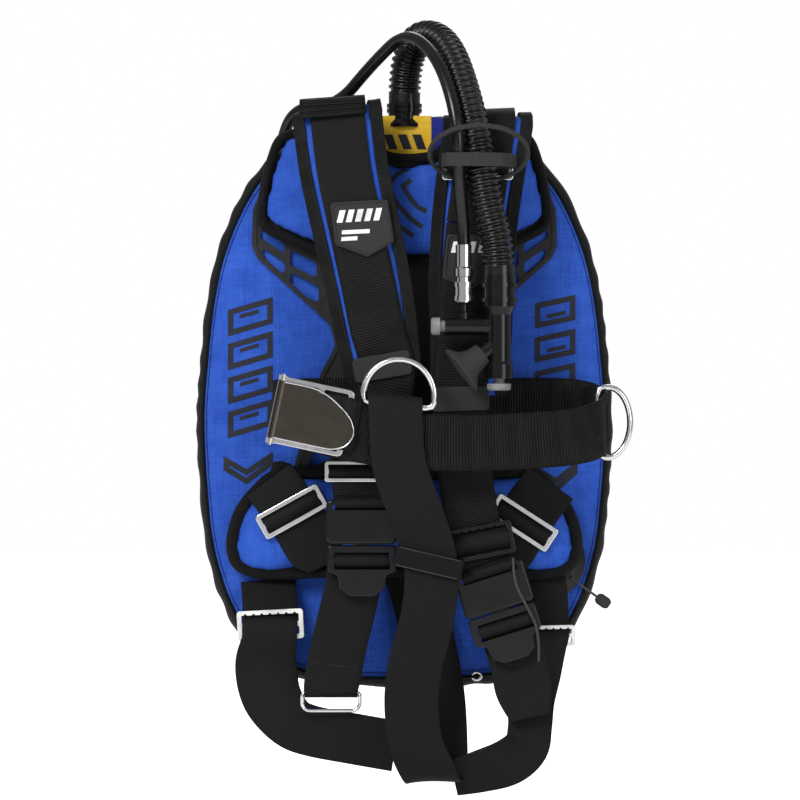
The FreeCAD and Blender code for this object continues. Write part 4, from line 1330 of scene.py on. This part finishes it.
# ------------------------------------------------------------------ plate and back pads
@dataclass
class Cushion:
    """Flat foam pad with a crowned face and a bound edge."""

    name: str
    right: tuple[Flat, ...]
    corner: float
    front: float
    thickness: float
    node: str
    binding: float = 3.6
    finish: Palette = Palette.BLUE_PAD

    def outline(self, inset: float, count: int = 240) -> list[Flat]:
        """Rounded outline, moved inwards by ``inset``.

        Args:
            inset: how far in, in millimetres.
            count: how many places.

        Returns:
            (x, z) places round the pad.
        """
        corners = list(self.right) + [(-x, z) for x, z in reversed(self.right)]
        n = len(corners)
        dense: list[Flat] = []
        for i in range(n):
            here = Vector(corners[i])
            before, after = Vector(corners[i - 1]), Vector(corners[(i + 1) % n])
            reach_a = min(self.corner * 1.6, (before - here).length * 0.45)
            reach_b = min(self.corner * 1.6, (after - here).length * 0.45)
            a = here + (before - here).normalized() * reach_a
            b = here + (after - here).normalized() * reach_b
            for k in range(7):
                f = k / 6
                dense.append(tuple(a.lerp(here, f).lerp(here.lerp(b, f), f)))
        ring = Spline(dense, closed=True).even(count, axes=2)
        out = []
        for k, (x, z) in enumerate(ring):
            ax, az = ring[(k + 2) % count]
            bx, bz = ring[k - 2]
            way = Vector((ax - bx, az - bz)).normalized()
            out.append((x + way.y * inset, z - way.x * inset))
        return out

    def build(self) -> bpy.types.Object:
        """Build the pad and its binding.

        Returns:
            The pad.
        """
        ring = self.outline(3.2, 120)
        mesh = bmesh.new()
        circle = bmesh.ops.create_circle(mesh, cap_ends=True, segments=len(ring), radius=1.0)
        for vert, (x, z) in zip(circle["verts"], ring):
            vert.co = at(x, self.front + 2.2, z)
        wall = bmesh.ops.extrude_face_region(mesh, geom=list(mesh.faces))
        moved = [item for item in wall["geom"] if isinstance(item, bmesh.types.BMVert)]
        bmesh.ops.translate(mesh, verts=moved, vec=(0, mm(self.thickness - 4.4), 0))
        bmesh.ops.recalc_face_normals(mesh, faces=mesh.faces)
        pad = swell(new_object(self.name, mesh))
        finish_piece(pad, self.finish, replaces=[self.node])
        middle = self.front + self.thickness * 0.5
        edge = [at(x, middle, z) for x, z in self.outline(2.6)]
        tube = tube_line(self.name + "_binding", edge, mm(self.binding), closed=True, sides=12)
        centre = at(0, middle, 0).y
        flatten = self.thickness * 0.52 / self.binding
        for vert in tube.data.vertices:
            vert.co.y = centre + (vert.co.y - centre) * flatten
        finish_piece(tube, Palette.BINDING)
        return pad


@dataclass
class BackPlate:
    """Skeleton plate with its bolts, the upper back pad and the lumbar pad."""

    pad_front: float = -17.2

    def pads(self) -> None:
        """Build both cushions."""
        outline = ((16, 177), (35, 183), (53, 201), (96, 201), (116, 196), (128, 160), (134, 120),
                   (127, 108),
                   (78, 86), (30, 78))
        upper = Cushion("upper_back_cushion", outline, 9, self.pad_front, 11.0, "back_pad",
                        4.6).build()
        lines = (
            [(4, 166), (-7, 160), (-15, 148), (-6, 132), (6, 119), (16, 112)],
            [(6, 155), (-1, 149), (3, 141), (12, 130), (20, 126)],
            [(-21, 140), (-14, 124), (-4, 112), (8, 104)],
        )
        for k, corners in enumerate(lines):
            line = printed_line(f"back_pad_print_{k}", corners, 4.2, 0)
            finish_piece(drape(line, upper), Palette.PRINT)
        Cushion("lumbar_cushion",
                ((120, -108), (152, -142), (161, -176), (155, -198), (128, -207), (60, -203)),
                11, self.pad_front - 3, 14.0, "lumbar_pad", 5.6).build()

    def build(self) -> None:
        """Build and dress the plate's parts."""
        dress_node(Palette.PLATE, "backplate")
        dress_node(Palette.STEEL, "plate_bolts")
        self.pads()


# ------------------------------------------------------------------ shoulder harness
@dataclass
class Shoulder:
    """One shoulder: padded yoke with knitted binding, webbing on top and its stitching."""

    side: str
    line: tuple[Flat, ...]
    foam: tuple[Flat, ...]
    widths: tuple[float, ...]
    lean: float
    tail: tuple[tuple[float, ...], ...]
    pad_y: float = -52.0
    pad_thickness: float = 11.0
    web_y: float = -59.15

    @property
    def drop(self) -> float:
        """How far this shoulder's top lies below the other one's."""
        return 206 - self.line[0][1]

    def pad_stations(self) -> list[tuple[float, ...]]:
        """Stations of the pad's middle surface."""
        x = self.line[0][0]
        across = (1.0, 0.0, self.lean)
        top = [(-28, 190, 70), (-27, 205, 72), (-32, 214, 76), (-40, 214, 80), (-47, 206, 81)]
        out = [(x, y, z - self.drop, *across, w) for y, z, w in top]
        out += [(px, self.pad_y, pz, *across, w) for (px, pz), w in zip(self.foam[1:], self.widths)]
        return out

    def pad(self) -> None:
        """Build the foam pad, its bound edges and their stitch rows."""
        narrow = [(*s[:6], s[6] - 9) for s in self.pad_stations()]
        strap = Strap(f"shoulder_cushion_{self.side}", narrow, thickness=self.pad_thickness - 4.0)
        pad = swell(strap.build(), pinned=0.72)
        finish_piece(pad, Palette.BLUE_PAD, replaces=[f"shoulder_pad_{self.side}"])
        samples = Spline(self.pad_stations()).even(120)
        for sign in (-1, 1):
            place = "inner" if sign * self.line[0][0] < 0 else "outer"
            middles = []
            seam = []
            for sample in samples:
                spot, half = Vector(sample[:3]), sample[6] / 2
                side = Vector(sample[3:6]).normalized()
                middles.append((*(spot + side * (sign * (half - 5.6))), *side, 11.2))
                if sample[1] < self.pad_y + 0.5:
                    seam.append(at(*(spot + side * (sign * (half - 9.2)) + Vector((0, -6.1, 0)))))
            tape = Strap(f"shoulder_binding_{self.side}_{place}", middles,
                         thickness=self.pad_thickness + 0.4, curl=-0.2)
            finish_piece(tape.build(), Palette.PAD_BLACK)
            thread = stitches(f"shoulder_stitches_{self.side}_{place}", seam, 3.4, 0.3)
            finish_piece(thread, Palette.THREAD)

    def webbing(self) -> None:
        """Build the webbing, smooth above the label and ribbed below."""
        x = self.line[0][0]
        across = (1.0, 0.0, self.lean)
        over = ((-28, 222.5), (-41, 223), (-53.5, 209))
        stations = [(x, y, z - self.drop, *across, 49) for y, z in over]
        stations += [(px, self.web_y, pz, *across, 49) for px, pz in self.line[1:]]
        stations += [(*t[:3], *t[3:6], 49) for t in self.tail]
        split = 4
        upper = Strap(f"shoulder_web_{self.side}_upper", stations[:split + 1], 2.4)
        lower = Strap(f"shoulder_web_{self.side}_lower", stations[split:], 1.9,
                      rib=0.32, rib_pitch=2.4)
        finish_piece(upper.build(), Palette.WEB, replaces=[f"shoulder_webbing_{self.side}"])
        finish_piece(lower.build(), Palette.RIBBED)

    def build(self) -> None:
        """Build and dress this shoulder."""
        self.pad()
        self.webbing()


@dataclass
class Harness:
    """Both shoulders, their rubber labels, the sewn fold and the shoulder slide."""

    label_y: float = -60.8

    def label(self, side: str, outline: Sequence[Flat], bars: Sequence[Sequence[Flat]]) -> None:
        """Add a raised rim and generic white marks to a rubber label.

        Args:
            side: which shoulder.
            outline: (x, z) corners of the label.
            bars: four corners of each mark.
        """
        middle = sum((Vector(corner) for corner in outline), Vector((0, 0))) / len(outline)
        inset = [Vector(corner).lerp(middle, 0.07) for corner in outline]
        rim = []
        for a, b in zip(inset, inset[1:] + inset[:1]):
            rim += [a.lerp(b, share) for share in (0.08, 0.3, 0.5, 0.7, 0.92)]
        line = [at(x, self.label_y - 2.6, z) for x, z in rim]
        edge = tube_line(f"label_rim_{side}", line, mm(0.9), closed=True, sides=8)
        finish_piece(edge, Palette.RUBBER)
        for k, corners in enumerate(bars):
            mark = printed_bar(f"label_mark_{side}_{k}", corners, self.label_y - 2.75)
            finish_piece(mark, Palette.WHITE_INK)

    def labels(self) -> None:
        """Mark both labels."""
        left = []
        for k in range(5):
            x, z = -58 + 8.2 * k, k * 0.5
            left.append([(x, 125 + z), (x + 5.2, 125.2 + z), (x + 2.4, 114 + z),
                         (x - 2.8, 113.8 + z)])
        left.append([(-56, 107), (-31, 108.2), (-31.3, 104.6), (-56.3, 103.4)])
        left.append([(-56.4, 101), (-42, 101.8), (-42.3, 98.2), (-56.7, 97.4)])
        self.label("left", [(-67, 132), (-15, 135), (-9, 97), (-33, 83), (-62, 94)], left)
        right = [[(x, 97), (x + 4.6, 97), (x + 2.2, 87), (x - 2.4, 87)] for x in (44, 52, 60, 68,
                                                                                  76)]
        self.label("right", [(38, 104), (88, 102), (84, 70), (60, 54), (34, 64)], right)

    def build(self) -> None:
        """Build and dress the harness above the belt."""
        Shoulder("left", ((-60, 206), (-54, 160), (-44, 112), (-34, 66), (-25, 22), (-15, -22)),
                 ((-60, 206), (-54, 160), (-44, 112), (-34, 66), (-26, 22), (-19, -22)),
                 (80, 79, 78, 75, 69), 0.18,
                 ((-28, -61, -66, 1, 0, 0.1), (-40, -62, -104, 1, 0, 0.05),
                  (-39, -64, -133, 1, 0, 0))).build()
        Shoulder("right", ((75, 199), (69, 160), (62, 112), (57, 60), (53, 8), (50, -42)),
                 ((75, 199), (69, 160), (63, 112), (60, 60), (60, 8), (58, -42)),
                 (80, 78, 76, 73, 69), 0.04,
                 ((53, -61, -92, 1, 0, 0.05), (60, -62, -150, 1, 0, 0.15),
                  (73, -64, -190, 1, 0, 0.28))).build()
        fold = [(-65, -33, 227, 1, 0, 0.07, 58), (-65, -45, 225.5, 1, 0, 0.07, 59),
                (-64.5, -54, 217, 1, 0, 0.07, 60),
                (-64, -59.5, 211, 1, 0, 0.07, 60)]
        finish_piece(Strap("shoulder_fold_left", fold, 3.0, rib=0.5, rib_pitch=3.4).build(),
                     Palette.RIBBED)
        dress_node(Palette.RUBBER, "shoulder_patches")
        self.labels()
        dress_node(Palette.STEEL, "steel_slides")
        for name, middle, tilt, width, half, rise in (
                ("shoulder_slide_cover", (65.5, -62.3, 164), 0, 54.5, 8.2, 2.9),
                ("lumbar_slide_cover_left", (-102, -27.5, -146), -29, 54.5, 8.2, 2.9),
                ("lumbar_slide_cover_right", (107, -27.5, -156), 33, 54.5, 8.2, 2.9),
                ("small_slide_cover", (-43, -66, -109), 0, 49.5, 6.4, 2.8),
                ("clip_slide_cover", (68, -67.2, -172), -11, 51, 10.5, 3.1)):
            bar_cover(name, middle, tilt, width, half, rise)


# ------------------------------------------------------------------ belt and lower straps
@dataclass
class Belt:
    """Ribbed waist belt with its lever buckle and the hip ring."""

    plan: tuple[Flat, ...] = (
        (-48, -90.6), (-84, -90.8), (-104, -84), (-116, -68), (-116, -42), (-104, -22),
        (-80, -12.5),
        (-20, -12), (60, -12), (140, -12.5), (164, -22), (178, -42), (180, -60), (174, -78),
        (158, -91), (130, -95), (70, -95.5), (10, -95.5), (-40, -95.5), (-72, -95.3))

    @staticmethod
    def height(x: float, y: float) -> float:
        """Height of the belt's middle: lower in front, rising towards the buckle."""
        front = (-12.0 - y) / 83.0
        rise = 0.00116 * (x - 40) ** 2 if x < 40 else 0.0004 * (x - 40) ** 2
        return -50.0 - 33.0 * front + rise * front

    def build(self) -> None:
        """Build the belt and dress its metal."""
        stations = [(x, y, self.height(x, y), 0, 0, 1, 50) for x, y in self.plan]
        strap = Strap("waist_belt_web", stations, 2.2, rib=0.4, rib_pitch=2.6)
        hang(strap, Palette.RIBBED, ["waist_belt"])
        tilt = 12.0
        lean = math.radians(tilt)
        fold = []
        for u, y in ((9, -98.4), (20, -100.6), (25, -103.0), (33.5, -103.0), (36.5, -100.8),
                     (39.5, -98.8)):
            fold.append((-81 + u * math.cos(lean), y, -60 - u * math.sin(lean),
                         math.sin(lean), 0, math.cos(lean), 47))
        finish_piece(Strap("belt_fold", fold, 1.9, rib=0.3, rib_pitch=2.6).build(), Palette.RIBBED)
        # the lever's dark colour is a painted dark reflection; the bead along its edge has the
        # plain steel colour
        dress_node(Palette.BUCKLE, "belt_buckle_lever")
        dress_node(Palette.STEEL, "belt_buckle_frame", "belt_buckle_pin")
        lever_edge = [(-31, 25), (-6, 25), (8, 21.5), (20, 15), (31, 6.5), (37, -3), (37.6, -11),
                      (33, -19.5), (24, -23.8),
                      (14, -25), (-31, -25)]
        line = tilted((-81, -106.3, -60), tilt, Spline(lever_edge).even(80, axes=2))
        edge = tube_line("buckle_lever_edge", line, mm(0.75), sides=8)
        finish_piece(edge, Palette.STEEL, body="buckle_lever")
        self.ring("crotch", (-6, -94.6, -50), 6, 41.0, 3.0)
        self.ring("hip", (173.5, -58, -65), 90, 29.0, 2.8)

    @staticmethod
    def ring(place: str, middle: Point, turn: float, height: float, radius: float) -> None:
        """Build a bent-wire D ring with a straight bar and a round bow.

        Args:
            place: where the ring is, crotch or hip.
            middle: the middle of the ring's bar in millimetres.
            turn: turn about Y in degrees, 90 for a ring that points right.
            height: height of the bow's crown above the bar's middle.
            radius: wire radius in millimetres.
        """
        bow = [(-24, 0), (24, 0), (30, 1.6), (31.5, 6)]
        rise = height - 9
        bow += [(31.5 * math.cos(a), 9 + rise * math.sin(a))
                for a in (math.pi * k / 24 for k in range(25))]
        bow += [(-31.5, 6), (-30, 1.6)]
        wire = tube_line(f"{place}_ring_wire", tilted(middle, turn, bow), mm(radius),
                         closed=True, sides=16)
        finish_piece(wire, Palette.STEEL, body=f"{place}_ring", replaces=[f"{place}_d_ring"])


@dataclass
class CrotchStrap:
    """Wide strap folded over the belt, through a keeper and up behind to the plate."""

    def build(self) -> None:
        """Build the strap, its keeper and the painted highlights along the keeper's edges."""
        stations = [
            (-8, -88.4, -104, 1, 0, 0), (-8, -88.4, -56, 1, 0, -0.08),
            (-8, -90.6, -43, 1, 0, -0.12),
            (-8, -98.4, -42, 1, 0, -0.12), (-8, -101.6, -52, 1, 0, -0.1),
            (-5, -101.6, -100, 1, 0, 0.1),
            (8, -97, -140, 1, 0, 0.3), (20, -91, -175, 1, 0, 0.25), (24, -89, -205, 1, 0, 0.1),
            (20, -88, -240, 1, 0, 0), (9, -87, -283, 1, 0, 0), (6, -86, -318, 1, 0, 0),
            (11, -84, -354, 1, 0, 0),
            (22, -79, -378, 1, 0, 0), (27, -68, -385, 1, 0, 0), (31, -54, -378, 1, 0, 0),
            (33, -44, -358, 1, 0, 0),
            (29, -24, -300, 1, 0, 0), (12, -4, -225, 1, 0, 0), (1, -1.6, -192, 1, 0, 0),
            (0, -1.6, -177, 1, 0, 0)]
        strap = Strap("crotch_strap_web", [(*s, 48) for s in stations], 2.3, curl=0.5)
        hang(strap, Palette.WEB, ["crotch_strap"])
        dress_node(Palette.WEB, "crotch_keeper")
        # pale beads along the keeper's top and bottom edges are painted highlights, not real parts
        for name, v in (("upper", 8.1), ("lower", -8.1)):
            edge = [(u, v) for u in range(-29, 30, 4)]
            line = tilted((22, -96.0 - 0.07 * v, -190), 13, edge)
            finish_piece(tube_line(f"crotch_keeper_edge_{name}", line, mm(0.55), sides=8),
                         Palette.THREAD)


@dataclass
class LowerStraps:
    """Clips and their tails, lumbar straps, leg straps and their slides."""

    def build(self) -> None:
        """Build the straps and dress the clips."""
        flat = (1, 0, 0)
        lumbar_left = [(-123, -23.4, -117, 1, 0, 0.6, 50), (-102, -23.4, -146, 1, 0, 0.6, 50),
                       (-80, -23.4, -182, 1, 0, 0.6, 50), (-73, -23.4, -196, 1, 0, 0.6, 30)]
        lumbar_right = [(133, -23.4, -120, 1, 0, -0.66, 50), (107, -23.4, -156, 1, 0, -0.66, 50),
                        (92, -23.4, -182, 1, 0, -0.66, 50), (84, -23.4, -194, 1, 0, -0.66, 30)]
        hang(Strap("lumbar_web_left", lumbar_left, 2.3), Palette.WEB,
             ["lumbar_straps"])
        hang(Strap("lumbar_web_right", lumbar_right, 2.3), Palette.WEB)
        tail_left = [(-44, -58.2, -186, *flat, 50), (-47, -58, -215, *flat, 50),
                     (-58, -57, -262, 1, 0, 0.15, 50),
                     (-64, -57.5, -292, 1, 0, 0.08, 50), (-66, -59, -304, 1, 0, 0.03, 49),
                     (-66, -59, -309, 1, 0, 0, 48)]
        tail_right = [(90, -58, -243, 1, 0, 0.28, 50), (101, -58, -278, 1, 0, 0.2, 50),
                      (107, -59, -306, 1, 0, 0.05, 50), (113, -61, -330, 1, 0, -0.1, 36)]
        hang(Strap("clip_tail_left", tail_left, 2.3), Palette.WEB,
             ["clip_tails"])
        hang(Strap("clip_tail_right", tail_right, 2.3), Palette.WEB)
        leg_left = [(-124, -7.6, -209, *flat, 50), (-122, -22, -228, *flat, 50),
                    (-121.5, -30, -239, *flat, 50),
                    (-121.5, -38.7, -247, *flat, 50), (-122, -39, -262, *flat, 50),
                    (-125, -35, -285, 1, 0, 0.05, 56), (-120, -38, -312, 1, 0, 0.45, 54),
                    (-104, -42, -334, 0.55, 0, 1, 48), (-84, -45, -343, 0.2, 0, 1, 46),
                    (-45, -49, -350, 0.1, 0, 1, 46), (-8, -54, -356, 0.1, 0, 1, 46)]
        leg_right = [(127, -8.5, -206, 1, 0, 0, 40), (127, -20, -232, 1, 0.15, 0, 44),
                     (126, -30, -249, 1, 0.3, 0, 46),
                     (126, -39, -257, 1, 0.3, 0, 46), (124, -40, -268, 1, 0.3, 0, 46),
                     (120, -39, -288, 1, 0.3, 0, 46), (114, -44, -314, 1, 0.2, 0, 44),
                     (113, -50, -338, 1, 0.1, -0.08, 40),
                     (109, -54, -357, 0.88, 0, -0.45, 41), (93, -58, -370, 0.55, 0, -0.84, 42),
                     (68, -60, -378, 0.36, 0, -0.92, 38), (44, -62, -384, 0.3, 0, -0.94, 32)]
        hang(Strap("leg_web_left", leg_left, 2.3, curl=0.6), Palette.WEB,
             ["leg_strap_left"])
        hang(Strap("leg_web_right", leg_right, 2.3, curl=0.6), Palette.WEB,
             ["leg_strap_right"])
        for side in SIDES:
            dress_node(Palette.PLASTIC, f"clip_female_{side}", f"clip_male_{side}",
                       f"clip_prong_outer_{side}", f"clip_prong_inner_{side}")
        dress_node(Palette.PLASTIC, "clip_slide")
        for side, lean, spot in (("left", 0.0, (-38, -65, -174)),
                                 ("right", -17.5, (86, -65, -233))):
            for part, up, half, rise in (("housing", 37.0, 8.5, 8.4), ("base", -14.6, 9.2, 6.6)):
                turn = math.radians(lean)
                middle = (spot[0] + up * math.sin(turn), spot[1], spot[2] + up * math.cos(turn))
                bar_cover(f"clip_{part}_web_{side}", middle, lean, 48.5, half, rise)
        hem = [at(-66 + x, -55, -308) for x in (-24, -12, 0, 12, 24)]
        finish_piece(tube_line("tail_hem_left", hem, mm(4.3), sides=16), Palette.WEB)
        seam = [at(-80 + k * 3.0, -58.6 - 0.4 * math.sin(k), -281 - k * 0.35) for k in range(14)]
        finish_piece(stitches("tail_stitches_left", seam, 3.0, 0.3), Palette.THREAD)
        dress_node(Palette.PALE_PLASTIC, "leg_slides")
        dress_node(Palette.STEEL, "tail_d_ring")


@dataclass
class Fittings:
    """Inflator, dump valve, keepers and the tank band buckles."""

    tank_r: float = 93.35

    def inflator(self) -> None:
        """Dress the inflator's parts."""
        dress_node(Palette.PLASTIC, "inflator_body")
        dress_node(Palette.GREY_PLASTIC, "inflate_button", "exhaust_button")
        dress_node(Palette.RUBBER, "hose_keeper", "bungee_ring")
        self.mouthpiece()
        dress_node(Palette.CHROME, "qd_body", "qd_sleeve")
        dress_node(Palette.PLASTIC, "hose_clamps")

    def mouthpiece(self) -> None:
        """Build the oral inflation mouthpiece: a flared sleeve with an oval flange."""
        start = Vector((69.6, -91.9, -3.8))
        end = Vector((49.5, -95.4, -18.9))
        way = (end - start).normalized()
        across = Vector((way.z, 0, -way.x)).normalized()
        deep = way.cross(across)
        profile = [(0.0, 8.6, 8.6), (0.05, 10.2, 9.6), (0.35, 11.0, 10.0), (0.62, 13.5, 10.6),
                   (0.8, 18.5, 11.6),
                   (0.9, 21.8, 12.6), (0.97, 22.4, 13.0), (1.0, 21.8, 12.6), (0.99, 16.0, 9.0),
                   (0.9, 8.0, 7.0), (0.55, 7.0, 7.0)]
        line = Spline(profile)

        def shape(s: float, t: float) -> Vector:
            """Place on the sleeve for two shares."""
            share, wide, low = line(t)
            angle = 2 * math.pi * s
            place = start + (end - start) * share
            return at(*(place + across * (wide * math.cos(angle)) + deep * (low * math.sin(angle))))

        sleeve = face_outwards(grid_piece("mouthpiece_sleeve", 48, 60, shape))
        finish_piece(sleeve, Palette.RUBBER, replaces=["mouthpiece"])

    def dump_valve(self) -> None:
        """Dress the dump valve and build its pull cord."""
        dress_node(Palette.PLASTIC, "opv_body", "opv_poppet")
        dress_node(Palette.SPRING, "opv_spring")
        dress_node(Palette.RUBBER, "opv_toggle")
        way = Vector((52.5, 0, -37.6)).normalized()
        start = Vector((VALVE_X, -1.4, VALVE_Z))
        route = [tuple(start + way * d) for d in (12, 24, 36, 48, 57)]
        line = HoseLine("dump_cord_skin", route)
        piece = line.curve(mm(CORD_RADIUS))
        finish_piece(piece, Palette.CORD, body="dump_pull", replaces=["opv_pull_cord"])

    def tank_bands(self) -> None:
        """Build the two tank bands and dress their cam buckles."""
        for label, z in (("upper", UPPER_BAND_Z), ("lower", LOWER_BAND_Z)):
            half = [(0, 2), (40, 2), (60, 2.2), (67.2, 6.5), (72, 23), (81, 55)]
            half += [(self.tank_r * math.cos(math.radians(a)),
                      TANK_AXIS_Y + self.tank_r * math.sin(math.radians(a)))
                     for a in range(-15, 90, 15)]
            ring = half + [(0, TANK_AXIS_Y + self.tank_r)] + [(-x, y) for x, y in reversed(half)]
            stations = [(x, y, z, 0, 0, 1, 50) for x, y in ring]
            strap = Strap(f"tank_band_{label}_web", stations, 2.2, rib=0.2, rib_pitch=2.6)
            finish_piece(strap.build(), Palette.RIBBED,
                         replaces=["tank_bands"] if label == "upper" else [])
        dress_node(Palette.STEEL, "cam_frames", "cam_lever_upper", "cam_lever_lower")

    def build(self) -> None:
        """Build and dress the fittings."""
        self.inflator()
        self.dump_valve()
        self.tank_bands()


def main() -> None:
    """Build the vest's looks piece by piece."""
    logging.basicConfig(level=logging.INFO, format="%(name)s: %(message)s")
    studio = Studio()
    studio.camera()
    for part in (Hoses(), Wing(), BackPlate(), Harness(), Belt(), CrotchStrap(), LowerStraps(),
                 Fittings()):
        LOG.info("building %s", type(part).__name__)
        part.build()
    studio.build()


if __name__ == "__main__":
    main()
